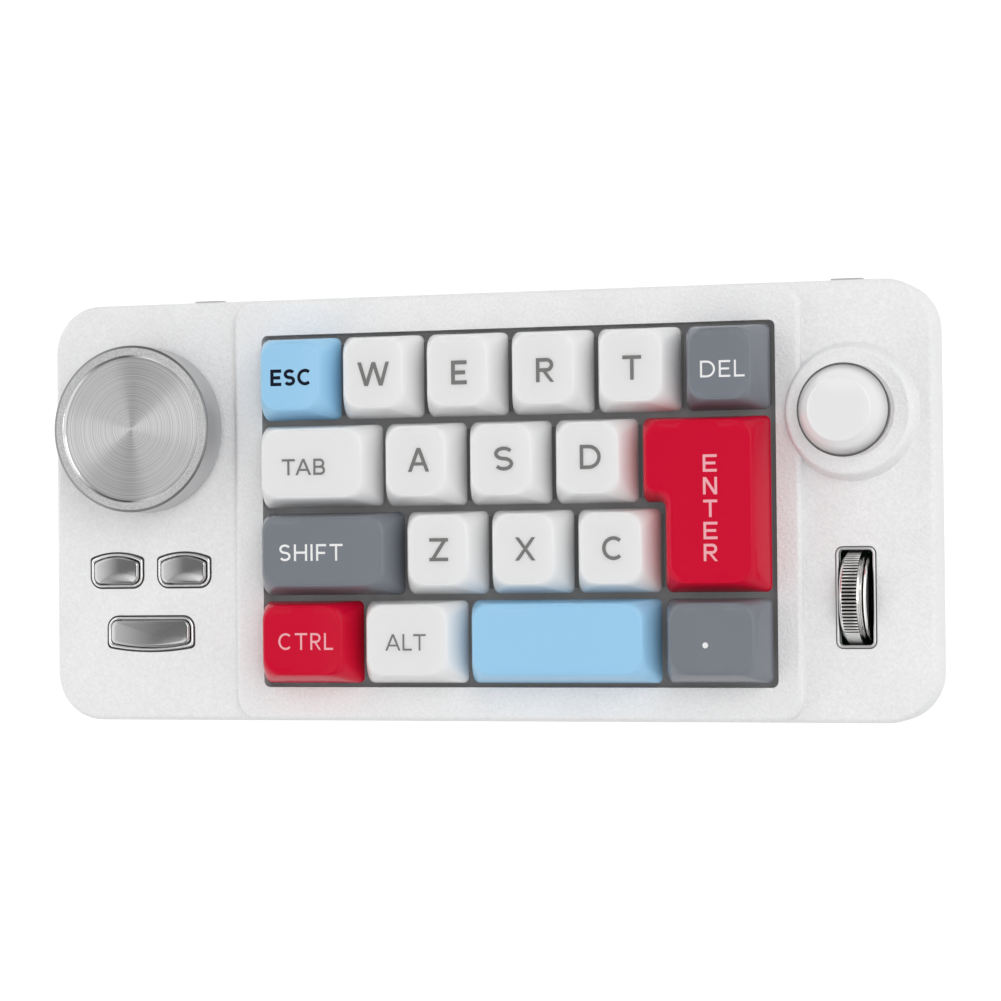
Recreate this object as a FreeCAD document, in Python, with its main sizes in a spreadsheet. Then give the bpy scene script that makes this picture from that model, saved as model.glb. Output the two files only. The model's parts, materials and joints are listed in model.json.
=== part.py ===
import FreeCAD, Part
import math
import os

import Sketcher

# A one-handed gaming keypad that lies on a desk: a white case with a raised centre that holds
# nineteen keys, a dial and three bright buttons on the left wing, and a thumbstick and a ribbed
# thumb wheel on the right wing.
#
# Millimetres. +X runs to the user's right, +Y away from the user and +Z up from the desk.
# The origin is on the desk, under the middle of the whole object's box.

Vector = FreeCAD.Vector

SIZES = [
    # the case
    ("wing_left", 43.85, "left wing, the case's side to the raised centre"),
    ("wing_right", 27.85, "right wing, the raised centre to the case's side"),
    ("body_corner", 10.5, "case corner radius in plan"),
    ("case_height", 18.3, "underside of the case to the top of the wings"),
    ("split_height", 8.3, "underside of the case to the joint between the shells"),
    ("edge_round", 1.2, "round on the top edge of the wings"),
    ("draw_in", 5.0, "how far the lower shell draws in from the joint to its underside"),
    ("wall", 2.0, "side wall of both shells"),
    ("roof", 2.2, "roof of the wings"),
    ("floor", 1.8, "floor of the lower shell"),
    ("centre_inset", 0.3, "raised centre behind the front and back walls"),
    ("centre_corner", 5.0, "raised centre corner radius in plan"),
    ("centre_rise", 2.0, "raised centre above the wings"),
    ("centre_round", 1.1, "round on the raised centre's top edge"),
    # the key well
    ("key_pitch", 19.05, "one key unit"),
    ("well_margin", 0.35, "well edge outside the key field"),
    ("well_left", 6.6, "raised centre beyond the key well, left"),
    ("well_right", 5.2, "raised centre beyond the key well, right"),
    ("well_back", 8.0, "case beyond the key well, back"),
    ("well_front", 7.4, "case beyond the key well, front"),
    ("well_corner", 1.4, "well corner radius in plan"),
    ("well_skirt", 1.8, "wall that goes down round the well"),
    ("plate_thickness", 1.5, "switch plate"),
    ("plate_lap", 2.4, "switch plate beyond the well edge"),
    ("plate_to_board", 5.0, "top of the switch plate to the top of the board"),
    ("board_thickness", 1.6, "circuit board"),
    ("board_gap", 1.3, "board edge to the inside of the walls"),
    ("board_corner", 7.0, "board corner radius in plan"),
    # the switches
    ("switch_body", 13.9, "switch housing where it passes the plate"),
    ("switch_fit", 0.05, "clearance each side between housing and plate"),
    ("switch_flange", 15.6, "switch housing flange on the plate"),
    ("flange_height", 1.0, "switch housing flange"),
    ("switch_top", 10.8, "switch housing across its top"),
    ("switch_height", 6.6, "switch housing above the plate"),
    ("stem_width", 7.0, "sliding body of the stem, across"),
    ("stem_depth", 5.6, "sliding body of the stem, front to back"),
    ("housing_floor", 0.8, "floor of the switch housing"),
    ("slide_fit", 0.08, "clearance each side of every sliding piece"),
    ("cross_span", 4.0, "cross on the stem, tip to tip"),
    ("cross_arm", 1.2, "cross on the stem, thickness of an arm"),
    ("cross_height", 3.6, "cross on the stem above its body"),
    ("cross_fit", 0.02, "clearance round the cross in the keycap"),
    ("key_travel", 4.0, "travel of a key"),
    ("travel_spare", 0.3, "room left under a stem at full travel"),
    ("peg_radius", 1.9, "peg under the switch housing"),
    ("peg_fit", 0.1, "clearance round the peg in the board"),
    ("guide_reach", 11.9, "switch to stabiliser post on a long key"),
    ("guide_width", 7.4, "stabiliser housing, across"),
    ("guide_depth", 12.2, "stabiliser housing, along the other way"),
    # the keycaps
    ("cap_gap", 1.25, "gap between neighbouring caps at their base"),
    ("cap_lift", 0.5, "cap base above the raised centre"),
    ("cap_height", 8.2, "cap, base to the rim of its top"),
    ("cap_side", 2.1, "cap side wall draws in at each side"),
    ("cap_back", 0.8, "cap back wall draws in"),
    ("cap_front", 1.9, "cap front wall draws in"),
    ("cap_swell", 1.35, "how full the cap walls are: 1 is straight"),
    ("cap_base_corner", 1.7, "cap corner radius at the base"),
    ("cap_top_corner", 3.9, "cap corner radius at the top"),
    ("cap_shoulder", 1.8, "round of the cap's top edge, up and down"),
    ("cap_soften", 0.55, "round of the cap's top edge, inward from the wall's line"),
    ("cap_dish", 0.45, "depth of the dish in the cap's top"),
    ("cap_wall", 1.35, "cap wall at the base"),
    ("cap_roof", 1.6, "cap wall under the dish"),
    ("mount_radius", 2.7, "round socket under the cap"),
    # the dial
    ("dial_aside", 21.7, "dial axis, left of the raised centre"),
    ("dial_back", 18.15, "dial axis, behind the case's middle"),
    ("dial_radius", 18.35, "dial, outside"),
    ("dial_gap", 0.6, "dial above the wing"),
    ("dial_height", 8.4, "dial, top to bottom"),
    ("dial_rim", 1.85, "flat ring round the dial's top"),
    ("dial_chamfer", 0.25, "dial, outer chamfer at the top"),
    ("dial_under", 0.5, "dial, outer chamfer underneath"),
    ("dial_slope", 0.6, "dial, polished slope inside the flat ring"),
    ("dial_sink", 0.65, "dial, disc below the flat ring"),
    ("dial_hollow", 9.0, "dial, radius of the hollow underneath"),
    ("dial_web", 3.0, "dial, metal above the hollow"),
    ("shaft_radius", 3.0, "dial shaft"),
    ("shaft_fit", 0.06, "clearance round the dial shaft and the wheel axle"),
    ("shaft_foot", 1.5, "dial shaft's end above the encoder's base"),
    ("bush_radius", 4.5, "encoder bush"),
    ("bush_fit", 0.15, "clearance round the encoder bush in the roof"),
    ("bush_rise", 3.2, "encoder bush above the roof's underside"),
    ("encoder_side", 12.5, "encoder body, each side"),
    # the bright buttons
    ("button_aside", 21.05, "bright buttons' middle line, left of the raised centre"),
    ("button_spread", 8.05, "small button's middle to that line"),
    ("button_front", 12.95, "small buttons, in front of the case's middle"),
    ("wide_front", 27.05, "wide button, in front of the case's middle"),
    ("small_width", 10.75, "small button, left to right"),
    ("small_depth", 5.9, "small button, front to back at its middle"),
    ("small_arch", 1.3, "rise of the small button's arched back edge"),
    ("wide_width", 18.8, "wide button, left to right"),
    ("wide_depth", 5.9, "wide button, front to back at its middle"),
    ("wide_arch", 1.0, "rise of the wide button's arched front edge"),
    ("button_corner", 1.6, "button corner radius in plan"),
    ("button_fit", 0.15, "gap round a button in its rim"),
    ("button_dome", 0.9, "round on the button's top edge"),
    ("button_proud", 1.2, "button above the wing"),
    ("button_travel", 0.5, "travel of a bright button"),
    ("button_flange", 0.8, "flange that keeps a button under the roof"),
    ("flange_thick", 0.9, "thickness of that flange"),
    ("rest_gap", 0.05, "gap where a moving piece rests against its stop"),
    ("ledge", 0.1, "opening in the case beyond the opening in its rim"),
    ("rim_band", 0.6, "bright rim, width of its band"),
    ("rim_depth", 0.9, "bright rim, sunk into the roof"),
    ("rim_proud", 0.35, "bright rim above the wing"),
    ("rim_fit", 0.2, "shadow gap round a rim in its seat"),
    ("tact_side", 4.4, "small switch body, each side"),
    ("tact_height", 2.6, "small switch body"),
    ("tact_button", 1.1, "small switch plunger radius"),
    ("tact_plunger", 0.8, "small switch plunger height"),
    ("tact_depth", 3.0, "shoulder button's small switch, front to back"),
    ("pusher_radius", 1.5, "pusher under a bright button"),
    # the thumbstick
    ("stick_aside", 10.5, "thumbstick axis, right of the raised centre"),
    ("stick_back", 18.65, "thumbstick axis, behind the case's middle"),
    ("collar_radius", 14.5, "collar at the wing"),
    ("collar_top_radius", 13.1, "collar at the edge of its flat top"),
    ("collar_height", 4.0, "collar above the wing"),
    ("collar_lip", 9.8, "radius where the collar's flat top turns inward"),
    ("collar_dish", 1.2, "how far the collar dips inside its flat top"),
    ("stick_hole", 8.8, "hole for the stick through the collar"),
    ("pivot_height", 14.5, "stick pivot above the desk"),
    ("dome_radius", 8.6, "dome that closes the collar's hole from below"),
    ("dome_shell", 1.2, "thickness of that dome"),
    ("dome_skirt", 0.8, "dome's edge above the pivot"),
    ("stick_neck", 3.2, "stick neck radius"),
    ("stick_rise", 14.0, "widest rim of the stick's cap above the pivot"),
    ("stick_cap_radius", 9.7, "stick's cap at its widest rim"),
    ("stick_cap_ledge", 0.45, "ledge of the rim outside the dome of the stick's cap"),
    ("stick_cap_top", 6.6, "radius of the dished top of the stick's cap"),
    ("stick_cap_height", 4.4, "stick's cap above its widest rim"),
    ("stick_cap_under", 0.9, "stick's cap below its widest rim"),
    ("stick_cap_dish", 0.4, "dish in the stick's cap"),
    ("stick_cap_swell", 0.3, "swell of the stick's cap between its rim and its top"),
    ("ball_radius", 2.6, "hub of the stick at the pivot"),
    ("ring_inner", 3.4, "gimbal ring, inside"),
    ("ring_outer", 4.9, "gimbal ring, outside"),
    ("ring_height", 2.4, "gimbal ring, top to bottom"),
    ("pin_radius", 0.7, "gimbal pins"),
    ("pin_fit", 0.05, "clearance round the gimbal pins"),
    ("module_side", 15.0, "stick module's base, each side"),
    ("module_wall", 1.2, "wall of the stick module's cup"),
    ("module_cup", 7.0, "stick module's cup, outside radius"),
    ("module_base", 1.8, "height of the stick module's base"),
    ("module_rise", 1.7, "stick module's cup above the pivot"),
    ("stalk_radius", 1.6, "stick between its hub and its dome"),
    # the thumb wheel
    ("wheel_aside", 11.0, "wheel's middle, right of the raised centre"),
    ("wheel_front", 20.05, "wheel axis, in front of the case's middle"),
    ("wheel_radius", 9.95, "wheel over its ribs"),
    ("wheel_proud", 3.7, "wheel above the wing"),
    ("wheel_band", 3.5, "ribbed band of the wheel"),
    ("wheel_ring", 2.2, "smooth ring beside the ribbed band"),
    ("wheel_ring_drop", 0.35, "smooth ring below the ribs"),
    ("rib_count", 80.0, "ribs round the wheel"),
    ("rib_depth", 0.45, "depth between the ribs"),
    ("land_ribs", 7.0, "ribs left out where the band has its smooth land"),
    ("axle_radius", 1.2, "wheel axle"),
    ("axle_reach", 2.6, "axle beyond the wheel at each side"),
    ("cheek_gap", 0.35, "wheel to each cheek"),
    ("cheek_thick", 2.0, "cheek of the wheel's bracket"),
    ("cheek_width", 6.0, "cheek, front to back"),
    ("slot_width", 7.1, "slot inside the wheel's rim, left to right"),
    ("slot_depth", 19.8, "slot inside the wheel's rim, front to back"),
    ("slot_corner", 0.8, "slot corner radius"),
    ("wheel_room", 0.9, "board cut-out beyond the wheel, front and back"),
    # the back edge
    ("shoulder_left_aside", 8.0, "left shoulder button's middle, left of the raised centre"),
    ("shoulder_right_aside", 9.0, "right shoulder button's middle, right of the raised centre"),
    ("shoulder_width", 6.8, "shoulder button, left to right"),
    ("shoulder_height", 3.4, "shoulder button, bottom to top"),
    ("shoulder_level", 4.7, "middle of the shoulder button below the top of the wing"),
    ("shoulder_proud", 0.5, "shoulder button beyond the back wall"),
    ("shoulder_corner", 0.9, "shoulder button corner radius"),
    ("shoulder_travel", 0.4, "travel of a shoulder button"),
    ("socket_width", 9.0, "cable socket, left to right"),
    ("socket_height", 3.2, "cable socket, bottom to top"),
    ("socket_length", 7.4, "cable socket, front to back"),
    ("socket_shell", 0.35, "cable socket's metal shell"),
    ("socket_fit", 0.2, "gap round the cable socket in the wall"),
    ("socket_back", 0.3, "cable socket's mouth inside the back wall"),
    ("tongue_thick", 0.7, "tongue inside the cable socket"),
    # underneath
    ("foot_length", 44.0, "foot pad, left to right"),
    ("foot_width", 8.0, "foot pad, front to back"),
    ("foot_proud", 1.2, "foot pad below the case"),
    ("foot_sunk", 0.6, "foot pad in its recess"),
    ("foot_fit", 0.1, "gap round a foot pad in its recess"),
    ("under_round", 1.5, "round on the lower shell's bottom edge"),
    ("foot_side", 41.25, "foot pad's middle, inside the case's side"),
    ("foot_end", 17.5, "foot pad's middle, inside the front or back wall"),
    ("screw_inner", 6.5, "inner screws, outside the key well"),
    ("screw_outer", 10.25, "outer screws, inside the case's side"),
    ("screw_end", 10.0, "screws, inside the front or back wall"),
    ("screw_shank", 1.2, "screw shank radius"),
    ("screw_head", 2.2, "screw head radius"),
    ("screw_head_height", 1.3, "screw head height"),
    ("screw_bite", 4.5, "screw length in the upper shell's post"),
    ("screw_fit", 0.2, "clearance round the screws in the lower shell and the board"),
    ("screw_sink", 0.2, "screw head above the underside"),
    ("thread_fit", 0.02, "clearance of the screw in the post"),
    ("post_radius", 2.4, "screw posts"),
]

KEY_COLUMNS = 6
KEY_ROWS = 4

# Each key: name, column and row of its back left corner in key units, and its width in key units.
KEYS = [
    ("esc", 0.0, 0, 1.0),
    ("w", 1.0, 0, 1.0),
    ("e", 2.0, 0, 1.0),
    ("r", 3.0, 0, 1.0),
    ("t", 4.0, 0, 1.0),
    ("del", 5.0, 0, 1.0),
    ("tab", 0.0, 1, 1.5),
    ("a", 1.5, 1, 1.0),
    ("s", 2.5, 1, 1.0),
    ("d", 3.5, 1, 1.0),
    ("shift", 0.0, 2, 1.75),
    ("z", 1.75, 2, 1.0),
    ("x", 2.75, 2, 1.0),
    ("c", 3.75, 2, 1.0),
    ("ctrl", 0.0, 3, 1.25),
    ("alt", 1.25, 3, 1.25),
    ("space", 2.5, 3, 2.25),
    ("dot", 4.75, 3, 1.25),
]

# The tall stepped key spans two rows: its upper part is wider to the left than its lower part.
ENTER_COLUMN = 4.5
ENTER_STEP_COLUMN = 4.75
ENTER_END_COLUMN = 6.0
ENTER_ROW = 1


class Size:
    """A number together with the sheet expression that it comes from."""

    def __init__(self, value, text):
        self.value = float(value)
        self.text = text

    def __float__(self):
        return self.value

    def join(self, other, sign, value):
        return Size(value, "(%s %s %s)" % (self.text, sign, as_size(other).text))

    def __add__(self, other):
        return self.join(other, "+", self.value + float(other))

    def __sub__(self, other):
        return self.join(other, "-", self.value - float(other))

    def __mul__(self, other):
        return self.join(other, "*", self.value * float(other))

    def __truediv__(self, other):
        return self.join(other, "/", self.value / float(other))

    def __radd__(self, other):
        return as_size(other) + self

    def __rsub__(self, other):
        return as_size(other) - self

    def __rmul__(self, other):
        return as_size(other) * self

    def __neg__(self):
        return Size(-self.value, "(-1 * %s)" % self.text)


def as_size(number):
    """Gives a plain number the same form as a value of the sheet."""
    if isinstance(number, Size):
        return number
    return Size(number, repr(float(number)))


class Sizes:
    """The sheet's values, one attribute for each alias."""


def make_sheet(document):
    """Writes the driving dimensions to the sheet and returns them by name."""
    sheet = document.addObject("Spreadsheet::Sheet", "Sizes")
    sizes = Sizes()
    for number, (alias, value, meaning) in enumerate(SIZES, start=1):
        sheet.set("A%d" % number, meaning)
        sheet.set("B%d" % number, str(value))
        sheet.setAlias("B%d" % number, alias)
        setattr(sizes, alias, Size(value, "Sizes.%s" % alias))
    document.recompute()
    return sizes


doc = FreeCAD.newDocument("gaming_keypad")
s = make_sheet(doc)

# Levels, from the desk up.
case_under = s.foot_proud
floor_top = case_under + s.floor
split = case_under + s.split_height
wing_top = case_under + s.case_height
roof_under = wing_top - s.roof
centre_top = wing_top + s.centre_rise
cap_base = centre_top + s.cap_lift
plate_top = cap_base - s.switch_height
plate_under = plate_top - s.plate_thickness
board_top = plate_top - s.plate_to_board
board_under = board_top - s.board_thickness
stem_length = s.switch_height + s.plate_to_board - s.housing_floor - s.travel_spare - s.key_travel

# The keys set the size of the well, the well that of the raised centre and of the case.
well_width = s.key_pitch * KEY_COLUMNS + 2 * s.well_margin
well_depth = s.key_pitch * KEY_ROWS + 2 * s.well_margin
centre_width = s.well_left + well_width + s.well_right
body_width = s.wing_left + centre_width + s.wing_right
body_depth = s.well_front + well_depth + s.well_back

# Places in plan. The shoulder buttons stand out of the back, so the case's middle lies
# half of that in front of the origin.
middle_y = s.shoulder_proud / -2
back_wall = middle_y + body_depth / 2
centre_left = s.wing_left - body_width / 2
centre_right = centre_left + centre_width
keys_x = centre_left + s.well_left + well_width / 2
keys_y = back_wall - s.well_back - well_depth / 2
dial_x = centre_left - s.dial_aside
dial_y = middle_y + s.dial_back
button_x = centre_left - s.button_aside
stick_x = centre_right + s.stick_aside
stick_y = middle_y + s.stick_back
wheel_x = centre_right + s.wheel_aside
wheel_y = middle_y - s.wheel_front
wheel_z = wing_top + s.wheel_proud - s.wheel_radius
wheel_width = s.wheel_band + s.wheel_ring
shoulder_z = wing_top - s.shoulder_level
shoulder_places = (centre_left - s.shoulder_left_aside, centre_right + s.shoulder_right_aside)
pivot_z = s.pivot_height
post_places = [
    (side_x, middle_y + ahead * (body_depth / 2 - s.screw_end))
    for side_x in (
        s.screw_outer - body_width / 2,
        keys_x - well_width / 2 - s.screw_inner,
        keys_x + well_width / 2 + s.screw_inner,
        body_width / 2 - s.screw_outer,
    )
    for ahead in (-1, 1)
]


def bind(thing, name, size):
    """Sets a property to a size and ties it to the sheet."""
    thing.setExpression(name, as_size(size).text)


def bind_place(thing, x, y, z, where="Placement"):
    """Ties the place of an object to the sheet."""
    bind(thing, ".%s.Base.x" % where, x)
    bind(thing, ".%s.Base.y" % where, y)
    bind(thing, ".%s.Base.z" % where, z)


def new_body(label):
    """Starts a sub-part made with sketches."""
    body = doc.addObject("PartDesign::Body", label)
    body.Label = label
    return body


def new_sketch(body, name, x, y, z, role="XY_Plane"):
    """Puts a sketch on one of the body's own planes, with its origin at x, y, z."""
    sketch = body.newObject("Sketcher::SketchObject", name)
    plane = [item for item in body.Origin.OriginFeatures if item.Role == role][0]
    sketch.AttachmentSupport = [(plane, "")]
    sketch.MapMode = "FlatFace"
    if role == "XZ_Plane":
        bind_place(sketch, x, z, -as_size(y), "AttachmentOffset")
    else:
        bind_place(sketch, x, y, z, "AttachmentOffset")
    return sketch


def bind_constraint(sketch, constraint, size):
    """Adds a driving constraint and ties it to the sheet."""
    index = sketch.addConstraint(constraint)
    bind(sketch, "Constraints[%d]" % index, size)


def draw_rounded(sketch, width, depth, radius):
    """Draws a rounded rectangle round the sketch's origin."""
    half_w = float(width) / 2
    half_d = float(depth) / 2
    r = float(radius)
    first = sketch.GeometryCount
    across = half_w - r
    along = half_d - r
    corners = [(across, along), (-across, along), (-across, -along), (across, -along)]
    for turn, (x, y) in enumerate(corners):
        start = math.pi / 2 * turn
        circle = Part.Circle(Vector(x, y, 0), Vector(0, 0, 1), r)
        sketch.addGeometry(Part.ArcOfCircle(circle, start, start + math.pi / 2), False)
    for turn in range(4):
        arc = sketch.Geometry[first + turn]
        following = sketch.Geometry[first + (turn + 1) % 4]
        sketch.addGeometry(Part.LineSegment(arc.EndPoint, following.StartPoint), False)
    for turn in range(4):
        line = first + 4 + turn
        sketch.addConstraint(Sketcher.Constraint("Tangent", first + turn, 2, line, 1))
        sketch.addConstraint(Sketcher.Constraint("Tangent", line, 2, first + (turn + 1) % 4, 1))
        level = "Horizontal" if turn % 2 == 0 else "Vertical"
        sketch.addConstraint(Sketcher.Constraint(level, line))
    for turn in range(1, 4):
        sketch.addConstraint(Sketcher.Constraint("Equal", first, first + turn))
    sketch.addConstraint(Sketcher.Constraint("Symmetric", first, 3, first + 2, 3, -1, 1))
    bind_constraint(sketch, Sketcher.Constraint("Radius", first, r), radius)
    span = Sketcher.Constraint("DistanceX", first + 1, 3, first, 3, 2 * across)
    bind_constraint(sketch, span, width - 2 * radius)
    span = Sketcher.Constraint("DistanceY", first + 2, 3, first + 1, 3, 2 * along)
    bind_constraint(sketch, span, depth - 2 * radius)


def hold_point(sketch, geometry, which, x, y):
    """Ties one point of a sketch to its distances from the sketch's origin."""
    for axis, name, size in (("x", "DistanceX", as_size(x)), ("y", "DistanceY", as_size(y))):
        if size.value == 0:
            line = -2 if axis == "x" else -1
            sketch.addConstraint(Sketcher.Constraint("PointOnObject", geometry, which, line))
        elif size.value > 0:
            bind_constraint(sketch, Sketcher.Constraint(name, -1, 1, geometry, which, size.value), size)
        else:
            bind_constraint(sketch, Sketcher.Constraint(name, geometry, which, -1, 1, -size.value), -size)


def draw_circles(sketch, centres, radius):
    """Draws equal circles at the given places."""
    for x, y in centres:
        circle = Part.Circle(Vector(float(x), float(y), 0), Vector(0, 0, 1), float(radius))
        index = sketch.addGeometry(circle, False)
        hold_point(sketch, index, 3, x, y)
        bind_constraint(sketch, Sketcher.Constraint("Radius", index, float(radius)), radius)


def draw_polygon(sketch, points):
    """Draws a closed outline of straight lines through the given points."""
    first = sketch.GeometryCount
    count = len(points)
    for number, (x, y) in enumerate(points):
        end_x, end_y = points[(number + 1) % count]
        start = Vector(float(x), float(y), 0)
        end = Vector(float(end_x), float(end_y), 0)
        sketch.addGeometry(Part.LineSegment(start, end), False)
    for number, (x, y) in enumerate(points):
        following = first + (number + 1) % count
        sketch.addConstraint(Sketcher.Constraint("Coincident", first + number, 2, following, 1))
        hold_point(sketch, first + number, 1, x, y)


def draw_rectangle(sketch, width, height):
    """Draws a sharp rectangle round the sketch's origin."""
    x = width / 2
    y = height / 2
    draw_polygon(sketch, [(x, y), (-x, y), (-x, -y), (x, -y)])


def pad(body, sketch, length, name):
    """Grows the sketch along its normal."""
    feature = body.newObject("PartDesign::Pad", name)
    feature.Profile = sketch
    bind(feature, "Length", length)
    doc.recompute()
    return feature


def pocket(body, sketch, length, name, reverse=False):
    """Cuts the sketch against its normal, or along it in reverse, and makes sure that it cuts."""
    before = body.Tip.Shape.Volume
    feature = body.newObject("PartDesign::Pocket", name)
    feature.Profile = sketch
    feature.Reversed = reverse
    bind(feature, "Length", length)
    doc.recompute()
    if feature.Shape.Volume >= before:
        raise RuntimeError("%s cuts nothing" % name)
    return feature


def round_edges(body, base, radius, name, chosen):
    """Rounds the edges of the base feature that the test chooses."""
    edges = ["Edge%d" % number for number, edge in enumerate(base.Shape.Edges, start=1) if chosen(edge)]
    feature = body.newObject("PartDesign::Fillet", name)
    feature.Base = (base, edges)
    bind(feature, "Radius", radius)
    doc.recompute()
    return feature


def lies_at(level):
    """Gives a test for edges that lie flat at a level."""
    def test(edge):
        box = edge.BoundBox
        return abs(box.ZMin - float(level)) < 0.001 and abs(box.ZMax - float(level)) < 0.001
    return test


def make_box(name, x, y, z, length, width, height):
    """Makes a box from its middle in plan and its lowest level."""
    item = doc.addObject("Part::Box", name)
    bind(item, "Length", length)
    bind(item, "Width", width)
    bind(item, "Height", height)
    bind_place(item, x - as_size(length) / 2, y - as_size(width) / 2, z)
    return item


def make_cylinder(name, x, y, z, radius, height):
    """Makes an upright cylinder from its foot."""
    item = doc.addObject("Part::Cylinder", name)
    bind(item, "Radius", radius)
    bind(item, "Height", height)
    bind_place(item, x, y, z)
    return item


def join(label, items):
    """Fuses objects into one."""
    item = doc.addObject("Part::MultiFuse", label)
    item.Label = label
    item.Shapes = items
    item.Refine = True
    return item


def take_away(label, base, tool):
    """Cuts one object from another."""
    item = doc.addObject("Part::Cut", label)
    item.Label = label
    item.Base = base
    item.Tool = tool
    return item


def gather(label, items):
    """Keeps separate solids together in one object."""
    item = doc.addObject("Part::Compound", label)
    item.Label = label
    item.Links = items
    return item


def add_shape(label, shape, x=0, y=0, z=0):
    """Adds a solid made with Part's own functions, drawn round its own origin."""
    item = doc.addObject("Part::Feature", label)
    item.Label = label
    item.Shape = shape
    bind_place(item, x, y, z)
    return item


def block(width, depth, low, high, x=0, y=0):
    """A sharp block round x, y between two levels."""
    corner = Vector(float(x) - float(width) / 2, float(y) - float(depth) / 2, float(low))
    return Part.makeBox(float(width), float(depth), float(high) - float(low), corner)


def rod(radius, low, high, x=0, y=0):
    """An upright cylinder between two levels."""
    foot = Vector(float(x), float(y), float(low))
    return Part.makeCylinder(float(radius), float(high) - float(low), foot)


def edges_along(shape, direction):
    """Finds the straight edges that run along a direction."""
    found = []
    for edge in shape.Edges:
        run = edge.Vertexes[-1].Point - edge.Vertexes[0].Point
        straight = edge.Curve.TypeId == "Part::GeomLine"
        if straight and abs(abs(run.normalize().dot(direction)) - 1) < 1e-6:
            found.append(edge)
    return found


def flat_edges(shape, level):
    """Finds the edges that lie flat at a level."""
    test = lies_at(level)
    return [edge for edge in shape.Edges if test(edge)]


def rounded_block(width, depth, radius, low, high, x=0, y=0):
    """A block with round upright edges."""
    shape = block(width, depth, low, high, x, y)
    return shape.makeFillet(float(radius), edges_along(shape, Vector(0, 0, 1)))


def key_place(column, row, width):
    """The middle of a key in plan."""
    x = keys_x + (column + width / 2 - KEY_COLUMNS / 2) * s.key_pitch
    y = keys_y + (KEY_ROWS / 2 - row - 0.5) * s.key_pitch
    return x, y


def key_corners(width):
    """A plain key's base corners round its middle, with the way each one draws in."""
    x = (width * s.key_pitch - s.cap_gap).value / 2
    y = (s.key_pitch - s.cap_gap).value / 2
    return [(-x, y, 1, -1), (x, y, -1, -1), (x, -y, -1, 1), (-x, -y, 1, 1)]


def enter_corners():
    """The stepped key's base corners round the middle of its lower part."""
    pitch = s.key_pitch.value
    gap = s.cap_gap.value
    middle = (ENTER_STEP_COLUMN + ENTER_END_COLUMN) / 2
    left = (ENTER_COLUMN - middle) * pitch + gap / 2
    step = (ENTER_STEP_COLUMN - middle) * pitch + gap / 2
    right = (ENTER_END_COLUMN - middle) * pitch - gap / 2
    back = pitch - gap / 2
    return [
        (left, back, 1, -1),
        (right, back, -1, -1),
        (right, -back, -1, 1),
        (step, -back, 1, 1),
        (step, gap / 2, 1, 1),
        (left, gap / 2, 1, 1),
    ]


def drawn_in(corners, share, more=0.0):
    """Moves the corners in by a share of the cap's slopes, and by the same amount more all round."""
    points = []
    for x, y, side_way, front_way in corners:
        side = s.cap_side.value * share + more
        slope = s.cap_back.value if front_way < 0 else s.cap_front.value
        points.append((x + side_way * side, y + front_way * (slope * share + more)))
    return points


def sharp_wire(points, level):
    """A closed outline with sharp corners."""
    ring = [Vector(x, y, level) for x, y in points]
    return Part.makePolygon(ring + ring[:1])


def rounded_wire(points, radius, level):
    """A closed outline with right-angled corners, each one rounded as far as its sides allow."""
    ring = [Vector(x, y, level) for x, y in points]
    count = len(ring)
    arcs = []
    for number, corner in enumerate(ring):
        to_last = ring[number - 1] - corner
        to_next = ring[(number + 1) % count] - corner
        r = min(radius, 0.45 * to_last.Length, 0.45 * to_next.Length)
        to_last.normalize()
        to_next.normalize()
        inward = to_last + to_next
        middle = corner + inward * r - inward * (r / inward.Length)
        arcs.append((corner + to_last * r, middle, corner + to_next * r))
    edges = []
    for number, (start, middle, end) in enumerate(arcs):
        edges.append(Part.Arc(start, middle, end).toShape())
        edges.append(Part.LineSegment(end, arcs[(number + 1) % count][0]).toShape())
    return Part.Wire(edges)


def cross(span, arm, low, high, x, y):
    """An upright cross-shaped post."""
    return block(span, arm, low, high, x, y).fuse(block(arm, span, low, high, x, y))


def cap_levels():
    """A cap's sections: level, share drawn in, what it draws in besides and its corner radius."""
    height = s.cap_height.value
    shoulder = s.cap_shoulder.value
    start = height - shoulder
    levels = []
    for part in (0.0, 0.5, 1.0):
        level = start * part
        levels.append((level, (level / height) ** s.cap_swell.value, 0.0))
    wall_share = levels[-1][1]
    steps = 3
    for step in range(1, steps + 1):
        left = (1 - step / steps) ** 2
        more = s.cap_soften.value * (step / steps) ** 2
        levels.append((height - shoulder * left, 1 - (1 - wall_share) * left, more))
    base = s.cap_base_corner.value
    grows = s.cap_top_corner.value - base
    return [(level, share, more, base + grows * share) for level, share, more in levels]


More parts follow.
